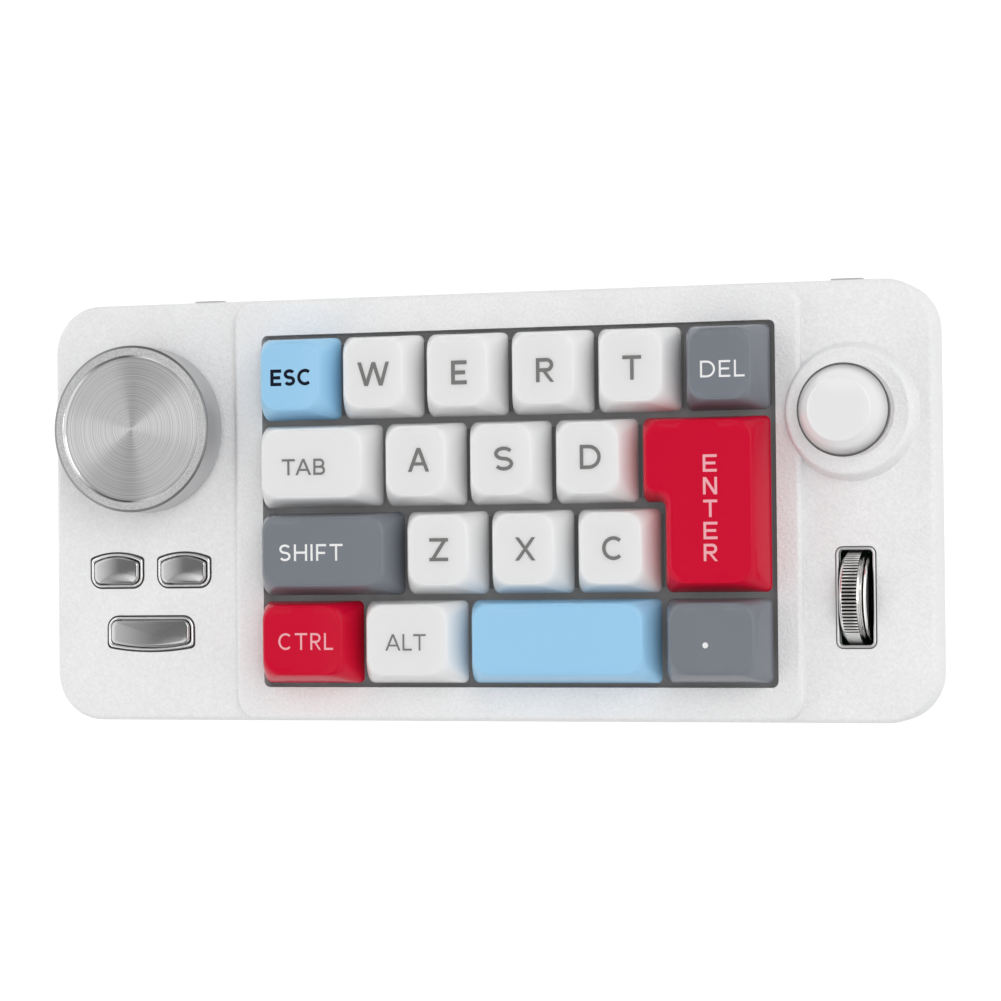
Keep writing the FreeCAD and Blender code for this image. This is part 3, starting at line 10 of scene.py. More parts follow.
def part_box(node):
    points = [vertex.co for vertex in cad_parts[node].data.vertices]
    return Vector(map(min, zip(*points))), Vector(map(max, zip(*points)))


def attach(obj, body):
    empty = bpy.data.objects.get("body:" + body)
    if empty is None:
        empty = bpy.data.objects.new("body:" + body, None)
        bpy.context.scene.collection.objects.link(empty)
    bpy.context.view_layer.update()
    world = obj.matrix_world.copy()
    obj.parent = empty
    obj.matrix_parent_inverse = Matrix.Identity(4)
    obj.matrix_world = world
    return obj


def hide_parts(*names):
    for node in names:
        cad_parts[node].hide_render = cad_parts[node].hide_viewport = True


bl_info = {
    "name": "Keypad looks",
    "version": (1, 0, 0),
    "blender": (4, 5, 0),
    "location": "3D View > Sidebar > Keypad",
    "description": "Gives a one-handed keypad its keycaps, legends, metal pieces, finishes and studio",
    "category": "Object",
}

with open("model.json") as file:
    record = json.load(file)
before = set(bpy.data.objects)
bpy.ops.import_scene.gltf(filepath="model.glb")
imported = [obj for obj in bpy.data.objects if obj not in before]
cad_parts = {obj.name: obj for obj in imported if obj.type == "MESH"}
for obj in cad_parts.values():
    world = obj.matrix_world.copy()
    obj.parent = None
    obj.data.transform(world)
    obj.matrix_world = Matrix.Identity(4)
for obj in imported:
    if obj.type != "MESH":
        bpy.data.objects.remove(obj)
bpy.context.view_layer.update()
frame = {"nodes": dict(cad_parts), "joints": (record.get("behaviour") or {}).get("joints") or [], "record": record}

MM = 0.001

# Each node's material slot, and the names of the keys.
SLOTS = {entry["node"]: entry["material_slot"] for entry in frame["record"]["subparts"]}
KEY_NAMES = [name[len("cap_"):] for name in sorted(frame["nodes"]) if name.startswith("cap_")]

# Each legend: its words, the middle of its lettering from the middle of the key, right and back,
# its width and height, all in millimetres, and its weight as a share of its height.
LEGENDS = {
    "esc": ("ESC", 0.2, 0.1, 9.5, 3.6, 0.2),
    "w": ("W", 0.0, 0.35, 7.2, 5.1, 0.15),
    "e": ("E", 0.25, 0.15, 3.5, 5.1, 0.165),
    "r": ("R", 0.3, 0.15, 4.0, 5.1, 0.155),
    "t": ("T", 0.2, 0.15, 4.1, 5.1, 0.15),
    "del": ("DEL", 0.6, -0.6, 9.5, 3.5, 0.125),
    "tab": ("TAB", -1.9, -0.25, 9.9, 3.5, 0.14),
    "a": ("A", 0.5, 0.8, 4.8, 5.1, 0.15),
    "s": ("S", 0.5, 0.7, 4.2, 5.1, 0.15),
    "d": ("D", 0.5, 0.7, 4.6, 5.1, 0.15),
    "shift": ("SHIFT", -2.7, 0.35, 14.5, 3.6, 0.135),
    "z": ("Z", 0.1, 0.65, 4.2, 4.9, 0.15),
    "x": ("X", 0.3, 0.6, 4.5, 4.9, 0.15),
    "c": ("C", 0.4, 0.55, 4.6, 5.0, 0.15),
    "ctrl": ("CTRL", 0.7, 0.25, 12.6, 3.6, 0.12),
    "alt": ("ALT", -0.4, 0.0, 9.1, 3.5, 0.115),
}
# The tall key's letters stand one above another: letter and its middle from the frame's middle.
COLUMN_LETTERS = [("E", 7.9), ("N", 3.2), ("T", -1.5), ("E", -6.1), ("R", -10.65)]
COLUMN_X = 54.0
COLUMN_SIZE = (3.0, 3.6)
COLUMN_WEIGHT = 0.155
DOT_PLACE = (52.6, -29.9)
LEGEND_INKS = {
    "cap_white": "ink_grey", "cap_blue": "ink_dark", "cap_red": "ink_pink", "cap_grey": "ink_white",
}


def size_prop(label, about, value):
    return bpy.props.FloatProperty(name=label, description=about, default=value * MM, unit="LENGTH")


def colour_prop(label, about, value):
    return bpy.props.FloatVectorProperty(name=label, description=about, default=value, subtype="COLOR")


def light_prop(label, about, value):
    return bpy.props.FloatProperty(name=label, description=about, default=value, min=0.0)


class KeypadSizes(bpy.types.PropertyGroup):
    """Sizes of the pieces that are modelled here, given in millimetres and kept in metres."""

    cap_side: size_prop("Cap side", "How far a cap's side wall draws in", 2.1)
    cap_back: size_prop("Cap back", "How far a cap's back wall draws in", 0.8)
    cap_front: size_prop("Cap front", "How far a cap's front wall draws in", 1.9)
    cap_shoulder: size_prop("Cap shoulder", "Height of the round of a cap's top edge", 1.8)
    cap_soften: size_prop("Cap edge", "Width of the round inside the line of the walls", 0.55)
    cap_dish: size_prop("Cap dish", "Depth of the dish in a cap's top", 0.45)
    cap_wall: size_prop("Cap wall", "Thickness of a cap's walls", 1.35)
    base_corner: size_prop("Base corner", "Corner radius of a cap's base", 1.3)
    top_corner: size_prop("Top corner", "Corner radius of a cap's top", 3.9)
    swell: bpy.props.FloatProperty(
        name="Wall swell", description="How full the cap walls are: 1 is straight",
        default=1.35, min=1.0, max=3.0)
    legend_proud: size_prop("Legend", "Height of the lettering above a cap", 0.02)
    button_flange: size_prop("Button flange", "Flange beyond a bright button", 0.8)
    rim_band: size_prop("Rim band", "Width of the bright rims", 0.6)


class KeypadColours(bpy.types.PropertyGroup):
    """Colours of the finishes, linear."""

    case_white: colour_prop("Case", "White of the case", (0.86, 0.86, 0.865))
    cap_white: colour_prop("White caps", "White of the keycaps", (0.83, 0.83, 0.83))
    cap_blue: colour_prop("Blue caps", "Blue of the keycaps", (0.33, 0.62, 0.87))
    cap_red: colour_prop("Red caps", "Red of the keycaps", (0.62, 0.002, 0.03))
    cap_grey: colour_prop("Grey caps", "Grey of the keycaps", (0.19, 0.205, 0.235))
    # The plate's grey is lighter than the plate's own dark grey: painted light for the gaps between the caps,
    # where little light reaches.
    plate: colour_prop("Plate", "Dark plate between the keys", (0.42, 0.42, 0.43))
    dial: colour_prop("Dial", "Metal of the dial", (0.66, 0.66, 0.665))
    bright: colour_prop("Bright metal", "Metal of the buttons", (0.5, 0.5, 0.5))
    stick: colour_prop("Stick", "White of the thumbstick", (0.84, 0.84, 0.84))


class KeypadLight(bpy.types.PropertyGroup):
    """The studio's lamps and background."""

    horizon: light_prop("Horizon", "Brightness of the studio's dark foot", 0.06)
    sky_low: light_prop("Walls", "Brightness of the studio between its lit walls", 0.345)
    sky_high: light_prop("Ceiling", "Brightness of the studio overhead", 0.28)
    wall_left: light_prop("Left wall", "Brightness that the lit wall at the left adds", 1.1)
    wall_right: light_prop("Right wall", "Brightness that the lit wall at the right adds", 0.72)
    card_front: light_prop("Front card", "Brightness that the small card high at the front adds", 1.2)
    card_right: light_prop("Right card", "Brightness that the small card high at the right adds", 4.0)
    key: light_prop("Key lamp", "Power of the soft lamp at the right", 5.3)
    fill: light_prop("Fill lamp", "Power of the small lamp at the front", 0.4)


def sizes():
    return bpy.context.scene.keypad_sizes


def colours():
    return bpy.context.scene.keypad_colours


def box(node_name):
    """A node's box: its low corner, its high corner and its middle."""
    low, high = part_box(node_name)
    return low, high, (low + high) / 2


# Mesh helpers

def add_object(name, vertices, faces, materials, sharp=40.0):
    """Makes an object from points in the frame, with outward faces and smooth shading up to an angle."""
    mesh = bpy.data.meshes.new(name)
    mesh.from_pydata([tuple(v) for v in vertices], [], [tuple(f) for f in faces])
    work = bmesh.new()
    work.from_mesh(mesh)
    bmesh.ops.remove_doubles(work, verts=work.verts, dist=1e-7)
    bmesh.ops.recalc_face_normals(work, faces=work.faces)
    work.to_mesh(mesh)
    work.free()
    for material in materials:
        mesh.materials.append(material)
    mesh.shade_smooth()
    mesh.set_sharp_from_angle(angle=math.radians(sharp))
    thing = bpy.data.objects.new(name, mesh)
    bpy.context.scene.collection.objects.link(thing)
    return thing


def add_piece(name, part, materials, sharp, body, replaced, choose=None):
    """Adds a piece that rides on a body and stands for a node; choose picks each face's material."""
    thing = add_object(name, *part, materials, sharp)
    if choose:
        for face in thing.data.polygons:
            face.material_index = choose(face.center)
    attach(thing, body)
    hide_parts(replaced)


def join(whole, part):
    """Adds a part's points and faces to a growing mesh."""
    start = len(whole[0])
    whole[0].extend(part[0])
    whole[1].extend(tuple(start + corner for corner in face) for face in part[1])


def raised(outline, height):
    """The points of an outline at one height."""
    return [(p.x, p.y, height) for p in outline]


def rounded_outline(points, radii, steps, sides=1):
    """A closed outline with its corners rounded, and each straight side split into equal stretches."""
    arcs = []
    for corner, last, following, wanted in zip(points, points[-1:] + points, points[1:] + points[:1], radii):
        to_last = last - corner
        to_next = following - corner
        half = to_last.angle(to_next) / 2
        reach = min(wanted / math.tan(half), 0.45 * min(to_last.length, to_next.length))
        if reach < 1e-9:
            arcs.append([corner.copy() for step in range(steps + 1)])
            continue
        to_last.normalize()
        to_next.normalize()
        middle = corner + (to_last + to_next).normalized() * (reach * math.tan(half) / math.sin(half))
        first = corner + to_last * reach - middle
        turn = first.angle_signed(corner + to_next * reach - middle)
        arcs.append([middle + Matrix.Rotation(-turn * step / steps, 2) @ first for step in range(steps + 1)])
    outline = []
    for arc, following in zip(arcs, arcs[1:] + arcs[:1]):
        outline += arc
        outline += [arc[-1].lerp(following[0], step / sides) for step in range(1, sides)]
    return outline


def ring_faces(start, other, count):
    """Quads between two rings of equal length, given by the number of their first point."""
    pairs = [(number, (number + 1) % count) for number in range(count)]
    return [(start + a, start + b, other + b, other + a) for a, b in pairs]


def stacked(rings, loop=False):
    """Points and quads of rings of equal length, one on another, the last joined to the first if wanted."""
    count = len(rings[0])
    faces = []
    for row in range(len(rings) - 1):
        faces += ring_faces(row * count, (row + 1) * count, count)
    if loop:
        faces += ring_faces((len(rings) - 1) * count, 0, count)
    return [point for ring in rings for point in ring], faces


def fill(loops, spacing=None, hole=False, limit=1e-8):
    """Triangles that fill outlines: one over a grid of points, one with a hole, or several that overlap."""
    points = []
    faces = []
    for loop in loops:
        faces.append(list(range(len(points), len(points) + len(loop))))
        points += loop
    if spacing:
        points += inner_points(loops[0], spacing)
    made = delaunay_2d_cdt(points, [], faces, 1, limit)
    if spacing:
        return made[0], made[2]
    return made[0], [face for face, owners in zip(made[2], made[5]) if (owners == [0] if hole else owners)]


def inner_points(loop, spacing):
    """A grid of points inside an outline and clear of its edge."""
    low = Vector((min(p.x for p in loop), min(p.y for p in loop)))
    span = Vector((max(p.x for p in loop), max(p.y for p in loop))) - low
    across, along = [max(1, round(length / spacing)) for length in span]
    spots = []
    for column in range(1, across):
        for row in range(1, along):
            spot = low + Vector((span.x * column / across, span.y * row / along))
            if clear_inside(spot, loop, spacing * 0.35):
                spots.append(spot)
    return spots


def clear_inside(spot, loop, margin):
    """Whether a point lies inside an outline and further than the margin from its edge."""
    inside = False
    for number, first in enumerate(loop):
        last = loop[number - 1]
        run = last - first
        share = 0.0
        if run.length > 0:
            share = max(0.0, min(1.0, (spot - first).dot(run) / run.length_squared))
        if (first + run * share - spot).length < margin:
            return False
        if (first.y > spot.y) != (last.y > spot.y):
            crossing = first.x + (spot.y - first.y) * (last.x - first.x) / (last.y - first.y)
            inside ^= spot.x < crossing
    return inside


def slab(flat, faces, top, bottom):
    """A closed solid over flat triangles, whose top and bottom heights are functions of the place."""
    count = len(flat)
    vertices = [(p.x, p.y, top(p)) for p in flat] + [(p.x, p.y, bottom(p)) for p in flat]
    whole = [tuple(face) for face in faces]
    whole += [tuple(count + corner for corner in reversed(face)) for face in faces]
    edges = {(face[number - 1], face[number]) for face in faces for number in range(len(face))}
    for first, last in edges:
        if (last, first) not in edges:
            whole.append((last, first, count + first, count + last))
    return vertices, whole


def lathe(sections, place, steps, axis="Z", ends=(0, -1)):
    """Points and faces of a profile of radius and height turned round an axis, with its ends closed."""
    rings = []
    for radius, height in sections:
        ring = []
        for step in range(steps):
            angle = 2 * math.pi * step / steps
            spot = Vector((height, radius * math.cos(angle), radius * math.sin(angle)))
            ring.append(place + (spot if axis == "X" else spot.yzx))
        rings.append(ring)
    vertices, faces = stacked(rings)
    for end in ends:
        start = (end % len(sections)) * steps
        faces.append(tuple(range(start, start + steps)))
    return vertices, faces


def curve_points(start, pull, end, count):
    """Points along a curve from start to end that is drawn towards a third point."""
    start, pull, end = [Vector(point) for point in (start, pull, end)]
    shares = [step / count for step in range(count + 1)]
    return [tuple(start.lerp(pull, share).lerp(pull.lerp(end, share), share)) for share in shares]


# Shader helpers

WHITE = (1.0, 1.0, 1.0, 1.0)
BLACK = (0.0, 0.0, 0.0, 1.0)


def new_group(name, inputs, outputs):
    """Starts a shader node group whose inputs are numbers and returns it with its two ends."""
    group = bpy.data.node_groups.new(name, "ShaderNodeTree")
    for label, value in inputs.items():
        socket = group.interface.new_socket(label, in_out="INPUT", socket_type="NodeSocketFloat")
        socket.default_value = value
    for label in outputs:
        group.interface.new_socket(label, in_out="OUTPUT", socket_type="NodeSocketFloat")
    return group, group.nodes.new("NodeGroupInput"), group.nodes.new("NodeGroupOutput")


def node(tree, kind, links=(), **settings):
    """Adds a node, sets its properties and inputs, and joins other nodes to it."""
    made = tree.nodes.new(kind)
    for name, value in settings.items():
        setattr(made, name, value)
    for socket, source in links:
        if isinstance(source, bpy.types.NodeSocket):
            tree.links.new(source, made.inputs[socket])
        else:
            made.inputs[socket].default_value = source
    return made


def maths(tree, operation, first, second=0.0, third=0.0):
    """Adds a maths node and returns its output."""
    links = [(0, first), (1, second), (2, third)]
    return node(tree, "ShaderNodeMath", links, operation=operation).outputs[0]


def noise(tree, scale, detail, place=None, turns=None):
    """A noise over a place in the frame, or along one number."""
    kind = "1D" if place is None else "3D"
    where = ("W", turns) if place is None else ("Vector", place)
    links = [where, ("Scale", scale), ("Detail", detail)]
    return node(tree, "ShaderNodeTexNoise", links, noise_dimensions=kind).outputs["Fac"]


def away_from(tree, centre, axes="XY"):
    """How far a place in the frame is from a line through a centre, and its part along the second axis."""
    place = node(tree, "ShaderNodeTexCoord").outputs["Object"]
    parts = node(tree, "ShaderNodeSeparateXYZ", [(0, place)])
    first, second = [maths(tree, "SUBTRACT", parts.outputs[axis], at) for axis, at in zip(axes, centre)]
    squares = maths(tree, "MULTIPLY_ADD", first, first, maths(tree, "MULTIPLY", second, second))
    return maths(tree, "SQRT", squares), second


def make_grain_group():
    """Fine moulded grain: a height for the bump and a mottle for the colour."""
    group, start, end = new_group("Moulded grain", {"Grain": 0.0005, "Cloud": 0.02}, ("Height", "Mottle"))
    place = node(group, "ShaderNodeTexCoord").outputs["Object"]
    fine = maths(group, "DIVIDE", 1.0, start.outputs["Grain"])
    grain = noise(group, fine, 2.0, place)
    cells = node(group, "ShaderNodeTexVoronoi", [("Vector", place), ("Scale", fine)], feature="SMOOTH_F1")
    cloud = noise(group, maths(group, "DIVIDE", 1.0, start.outputs["Cloud"]), 3.0, place)
    height = maths(group, "ADD", grain, cells.outputs["Distance"])
    group.links.new(height, end.inputs["Height"])
    mottle = maths(group, "MULTIPLY_ADD", cloud, 0.35, maths(group, "MULTIPLY", grain, 0.65))
    group.links.new(mottle, end.inputs["Mottle"])
    return group


def make_spun_group():
    """Turning marks round an upright axis: a height and a shade that change only with the radius."""
    inputs = {"Axis X": 0.0, "Axis Y": 0.0, "Pitch": 0.0003}
    group, start, end = new_group("Turning marks", inputs, ("Height", "Shade"))
    place = node(group, "ShaderNodeTexCoord").outputs["Object"]
    wander = noise(group, 420.0, 1.0, place)
    radius, along = away_from(group, (start.outputs["Axis X"], start.outputs["Axis Y"]))
    rows = maths(group, "DIVIDE", radius, start.outputs["Pitch"])
    turns = maths(group, "MULTIPLY_ADD", wander, 0.5, rows)
    marks = noise(group, 1.0, 4.0, turns=turns)
    bands = noise(group, 1.0, 2.0, turns=maths(group, "MULTIPLY", turns, 0.12))
    shade = maths(group, "MULTIPLY_ADD", marks, 0.9, maths(group, "MULTIPLY", bands, 0.1))
    group.links.new(marks, end.inputs["Height"])
    group.links.new(shade, end.inputs["Shade"])
    return group


def shared_group(tree, name, make, **values):
    """Places a node group in a material with its own values, and makes it when it is first asked for."""
    placed = node(tree, "ShaderNodeGroup", node_tree=bpy.data.node_groups.get(name) or make())
    for label, value in values.items():
        placed.inputs[label.replace("_", " ")].default_value = value
    return placed


def main_shader(material):
    return material.node_tree.nodes["Principled BSDF"]


def new_material(name, **values):
    """Starts a material and returns it with its tree and its main shader."""
    material = bpy.data.materials.new(name)
    material.use_nodes = True
    shader = main_shader(material)
    shader.inputs["IOR"].default_value = 1.47
    shader.inputs["Coat Roughness"].default_value = 0.1
    for label, value in values.items():
        shader.inputs[label.replace("_", " ")].default_value = value
    return material, material.node_tree, shader


def rgba(colour, factor=1.0):
    return (colour[0] * factor, colour[1] * factor, colour[2] * factor, 1.0)


def mix_colours(tree, mask, first, second):
    """Mixes two colours by a mask."""
    return node(tree, "ShaderNodeMix", [(0, mask), (6, first), (7, second)], data_type="RGBA").outputs[2]


def between(tree, value, low, high, to_low, to_high):
    """Maps a value from one range to another and keeps it there."""
    links = [(0, value), (1, low), (2, high), (3, to_low), (4, to_high)]
    return node(tree, "ShaderNodeMapRange", links, clamp=True).outputs[0]


def cover(tree, shader, tint, gloss, height, depth):
    """Joins a colour, a roughness and the height of a bump to a shader."""
    tree.links.new(tint, shader.inputs["Base Color"])
    tree.links.new(gloss, shader.inputs["Roughness"])
    bump = node(tree, "ShaderNodeBump", [("Strength", 1.0), ("Distance", depth), ("Height", height)])
    tree.links.new(bump.outputs["Normal"], shader.inputs["Normal"])


def plastic(name, colour, roughness, grain=0.0005, depth=0.006 * MM, variation=0.03, spread=0.05, **values):
    """A moulded plastic: fine grain, slightly uneven colour and gloss."""
    material, tree, shader = new_material(name, Roughness=roughness, **values)
    fine = shared_group(tree, "Moulded grain", make_grain_group, Grain=grain)
    mottle = fine.outputs["Mottle"]
    tint = mix_colours(tree, mottle, rgba(colour, 1 - variation), rgba(colour, 1 + variation))
    gloss = between(tree, mottle, 0.3, 0.7, roughness - spread, roughness + spread)
    cover(tree, shader, tint, gloss, fine.outputs["Height"], depth)
    return material


def metal(name, colour, roughness, grain=0.0004, depth=0.001 * MM, variation=0.04):
    """A polished or plated metal with faint unevenness."""
    return plastic(name, colour, roughness, grain, depth, variation, 0.03, Metallic=1.0)


def spun_metal(name, colour, roughness, centre, pitch, depth, anisotropy):
    """A turned metal face: fine circular marks and the long highlights that they give."""
    values = {"Roughness": roughness, "Anisotropic": anisotropy, "Anisotropic_Rotation": 0.25}
    material, tree, shader = new_material(name, Metallic=1.0, **values)
    axis = {"Axis_X": centre.x, "Axis_Y": centre.y}
    marks = shared_group(tree, "Turning marks", make_spun_group, Pitch=pitch, **axis)
    shade = between(tree, marks.outputs["Shade"], 0.35, 0.65, 0.0, 1.0)
    tint = mix_colours(tree, shade, rgba(colour, 0.8), rgba(colour, 1.2))
    gloss = between(tree, shade, 0.0, 1.0, roughness - 0.05, roughness + 0.05)
    cover(tree, shader, tint, gloss, marks.outputs["Height"], depth)
    tangent = node(tree, "ShaderNodeTangent", direction_type="RADIAL", axis="Z")
    tree.links.new(tangent.outputs["Tangent"], shader.inputs["Tangent"])
    return material


def soften(material, weight):
    """Lets light into a plastic a little, as pale moulded plastic does."""
    shader = main_shader(material)
    shader.inputs["Subsurface Weight"].default_value = weight
    shader.inputs["Subsurface Radius"].default_value = (1.0, 1.0, 1.0)
    shader.inputs["Subsurface Scale"].default_value = 2.0 * MM


def scattered_light(material, level, mask=None):
    """A faint glow for the light that pale pieces above scatter down, where a mask says or everywhere."""
    shader = main_shader(material)
    shader.inputs["Emission Color"].default_value = WHITE
    shader.inputs["Emission Strength"].default_value = level
    if mask is not None:
        tree = material.node_tree
        tree.links.new(mix_colours(tree, mask, BLACK, WHITE), shader.inputs["Emission Color"])


def darken(material, mask, level):
    """Paints shade into a material: mixes a grey of some level into its own colour by a mask."""
    tree = material.node_tree
    target = main_shader(material).inputs["Base Color"]
    tint = target.links[0].from_socket
    tree.links.new(mix_colours(tree, mask, tint, rgba((level, level, level))), target)


def shade_rim(material, centre, low, high, level):
    """Paints shade into a colour towards a rim round an upright axis, most at its front and its back."""
    tree = material.node_tree
    radius, along = away_from(tree, centre)
    turned = maths(tree, "DIVIDE", *[maths(tree, "MULTIPLY", length, length) for length in (along, radius)])
    near = between(tree, radius, low, high, 0.0, 1.0)
    ends = maths(tree, "MULTIPLY_ADD", turned, 0.55, 0.45)
    darken(material, maths(tree, "MULTIPLY", maths(tree, "MULTIPLY", near, near), ends), level)


def paint_hollow_shade(material, axle, low, high):
    """Paints shade: blackens a metal where it lies nearer to a level axle along X than two radii, in the hollows
    between ribs and rims.
    """
    away, height = away_from(material.node_tree, axle.yz, "YZ")
    darken(material, between(material.node_tree, away, low, high, 1.0, 0.0), 0.012)


def dress(node_name, material):
    """Gives a carried-over node its material."""
    thing = frame["nodes"][node_name]
    thing.data.materials.clear()
    thing.data.materials.append(material)


# Keycaps

def cap_corners(name):
    """Base corners of a cap and the way in which each one draws in, right and back."""
    low, high, middle = box("cap_" + name)
    right_side = [(high.x, high.y, -1, -1), (high.x, low.y, -1, 1)]
    if name != "enter":
        return [(low.x, high.y, 1, -1), *right_side, (low.x, low.y, 1, 1)]
    step_x = box("cap_dot")[0].x
    step_y = box("cap_d")[0].y
    steps = [(step_x, low.y, 1, 1), (step_x, step_y, 1, 1), (low.x, step_y, 1, 1)]
    return [(low.x, high.y, 1, -1), *right_side, *steps]


def cap_ring(corners, share, more, radius):
    """A cap's outline, drawn in by a share of its slopes and by the same amount more all round."""
    size = sizes()
    points = []
    for x, y, side_way, front_way in corners:
        slope = size.cap_back if front_way < 0 else size.cap_front
        spot = (x + side_way * (size.cap_side * share + more), y + front_way * (slope * share + more))
        points.append(Vector(spot))
    return rounded_outline(points, [radius] * len(points), 7, 8)


def cap_dish(name):
    """A function that gives the depth of a cap's dish at a place across it."""
    low, high, middle = box("cap_" + name)
    half = (high.x - low.x) / 2 - sizes().cap_side
    deep = sizes().cap_dish
    return lambda x: deep * max(0.0, 1.0 - ((x - middle.x) / half) ** 2)


def cap_profile(tall):
    """How a cap's wall rises: share drawn in, extra inset, height as a share and weight of the dish."""
    size = sizes()
    start = 1.0 - size.cap_shoulder / tall
    rows = 8
    levels = [((start * row / rows) ** size.swell, 0.0, start * row / rows, 0.0) for row in range(rows)]
    wall_share = start ** size.swell
    steps = 12
    for step in range(steps + 1):
        turn = step / steps
        left = (1 - turn) ** 2
        share = 1 - (1 - wall_share) * left
        levels.append((share, size.cap_soften * turn ** 2, 1 - (1 - start) * left, turn ** 3))
    return levels


def build_cap(name, material):
    """One keycap: full walls, a soft edge, a dished top, a hollow inside and its sockets."""
    size = sizes()
    low, high, middle = box("cap_" + name)
    tall = high.z - low.z
    corners = cap_corners(name)
    dish = cap_dish(name)
    rings = []
    for share, more, height, weight in cap_profile(tall):
        radius = size.base_corner + (size.top_corner - size.base_corner) * share
        ring = cap_ring(corners, share, more, radius)
        rings.append([(p.x, p.y, low.z + tall * height - weight * dish(p.x)) for p in ring])
    cap = stacked(rings)
    flat, triangles = fill([ring], 1.4 * MM)
    join(cap, ([(p.x, p.y, high.z - dish(p.x)) for p in flat], triangles))

    roof = 2.05 * MM
    ceiling = low.z + tall - roof
    start = len(cap[0])
    count = len(ring)
    for share, height in ((0.0, low.z), ((tall - roof) / tall, ceiling)):
        cap[0].extend(raised(cap_ring(corners, share, size.cap_wall, 0.6 * MM), height))
    cap[1].extend(ring_faces(0, start, count) + ring_faces(start, start + count, count))
    cap[1].append(tuple(range(start + count, start + 2 * count)))
    for spot in socket_places(name):
        loops = [circle(spot, 2.7 * MM, 24), cross_outline(spot, 4.0 * MM, 1.2 * MM)]
        join(cap, slab(*fill(loops, hole=True), lambda p: ceiling + 0.3 * MM, lambda p: low.z))
    add_piece("keycap_" + name, cap, [material], 38.0, "key_" + name, "cap_" + name)


def socket_places(name):
    """Where a cap takes its stems: under its middle, and beside it on a long key."""
    low, high, middle = box("stem_" + name)
    places = [middle.xy]
    for axis in (0, 1):
        span = high[axis] - low[axis]
        if span > 20 * MM:
            reach = Vector((0.0, 0.0))
            reach[axis] = span / 2 - 2.8 * MM
            places += [middle.xy + reach, middle.xy - reach]
    return places


def circle(middle, radius, count):
    return sweep(middle, (radius, radius), 0, 360, count)[:-1]


def cross_outline(middle, span, arm):
    """A plus-shaped outline."""
    a = arm / 2
    b = span / 2
    corners = [(a, a), (a, b), (-a, b), (-a, a), (-b, a), (-b, -a)]
    corners += [(-x, -y) for x, y in corners]
    return [middle + Vector(corner) for corner in corners]


# Lettering

def stroke(points, weight):
    """The outline of a pen stroke with square ends and mitred turns."""
    left = []
    right = []
    for number, point in enumerate(points):
        before = points[max(number - 1, 0)]
        after = points[min(number + 1, len(points) - 1)]
        into = (point - before) if number else (after - point)
        out = (after - point) if number < len(points) - 1 else (point - before)
        along = (into.normalized() + out.normalized()).normalized()
        aside = Vector((-along.y, along.x)) * (weight / 2 / max(0.3, along.dot(into.normalized())))
        left.append(point + aside)
        right.append(point - aside)
    return left + right[::-1]


def sweep(middle, radii, start, end, count=14):
    """Points along part of an ellipse, with angles in degrees."""
    angles = [math.radians(start + (end - start) * step / count) for step in range(count + 1)]
    return [middle + Vector((radii[0] * math.cos(angle), radii[1] * math.sin(angle))) for angle in angles]


def bar(left, low, right, high):
    return [Vector((left, low)), Vector((right, low)), Vector((right, high)), Vector((left, high))]


def slant(low_x, high_x, weight, low=0.0, high=1.0):
    """A sloping stroke with level ends, given by the middles of its ends."""
    w = weight / 2
    corners = [(low_x - w, low), (low_x + w, low), (high_x + w, high), (high_x - w, high)]
    return [Vector(corner) for corner in corners]


def bowl(left, right, low, high, weight):
    """A stroke that runs right, turns round and comes back, as in D, B and R."""
    w = weight / 2
    reach = (high - low) / 2 - w
    turn = max(left, right - w - reach * 1.05)
    arc = sweep(Vector((turn, (low + high) / 2)), (right - w - turn, reach), 90, -90)
    return stroke([Vector((left, high - w)), *arc, Vector((left, low + w))], weight)


def letter_strokes(letter, wide, w):
    """The strokes of a capital letter of unit height and given width and weight."""
    half = wide / 2
    steep = w * 1.08
    post = bar(0, 0, w, 1)
    far_post = bar(wide - w, 0, wide, 1)
    base = bar(0, 0, wide, w)
    head = bar(0, 1 - w, wide, 1)
    if letter == "A":
        sides = [slant(steep / 2, half, steep), slant(wide - steep / 2, half, steep)]
        return sides + [bar(wide * 0.2, 0.26, wide * 0.8, 0.26 + w * 0.9)]
    if letter == "B":
        return [post, bowl(w / 2, wide, 0.0, 0.5 + w / 2, w), bowl(w / 2, wide * 0.94, 0.5 - w / 2, 1.0, w)]
    if letter == "C":
        broad = half * 1.08
        return [stroke(sweep(Vector((broad, 0.5)), (broad - w / 2, 0.5 - w / 2), 48, 312, 24), w)]
    if letter == "D":
        return [post, bowl(w / 2, wide, 0.0, 1.0, w)]
    if letter == "E":
        return [post, base, bar(0, 0.5 - w / 2, wide * 0.9, 0.5 + w / 2), head]
    if letter == "F":
        return [post, bar(0, 0.47 - w / 2, wide * 0.9, 0.47 + w / 2), head]
    if letter == "H":
        return [post, far_post, bar(0, 0.5 - w / 2, wide, 0.5 + w / 2)]
    if letter == "I":
        return [post]
    if letter == "L":
        return [post, base]
    if letter == "N":
        return [post, far_post, slant(wide - w * 0.6, w * 0.6, w * 1.2)]
    if letter == "R":
        leg = slant(wide - steep / 2, wide * 0.45, steep, 0.0, 0.45)
        return [post, bowl(w / 2, wide * 0.96, 0.42, 1.0, w), leg]
    if letter == "S":
        radii = (half - w / 2, 0.25 - w / 4)
        path = sweep(Vector((half, 0.75 - w / 4)), radii, 28, 270, 18)
        path += sweep(Vector((half, 0.25 + w / 4)), radii, 90, -152, 18)[1:]
        return [stroke(path, w)]
    if letter == "T":
        return [bar(half - w / 2, 0, half + w / 2, 1), head]
    if letter == "W":
        fall = wide * 0.27
        marks = [(fall, steep / 2), (fall, half), (wide - fall, half), (wide - fall, wide - steep / 2)]
        return [slant(foot, top, steep) for foot, top in marks]
    if letter == "X":
        broad = w * 1.15
        return [slant(broad / 2, wide - broad / 2, broad), slant(wide - broad / 2, broad / 2, broad)]
    if letter == "Z":
        broad = w * 1.25
        return [base, head, slant(broad / 2, wide - broad / 2, broad)]
    raise ValueError("no strokes for %s" % letter)


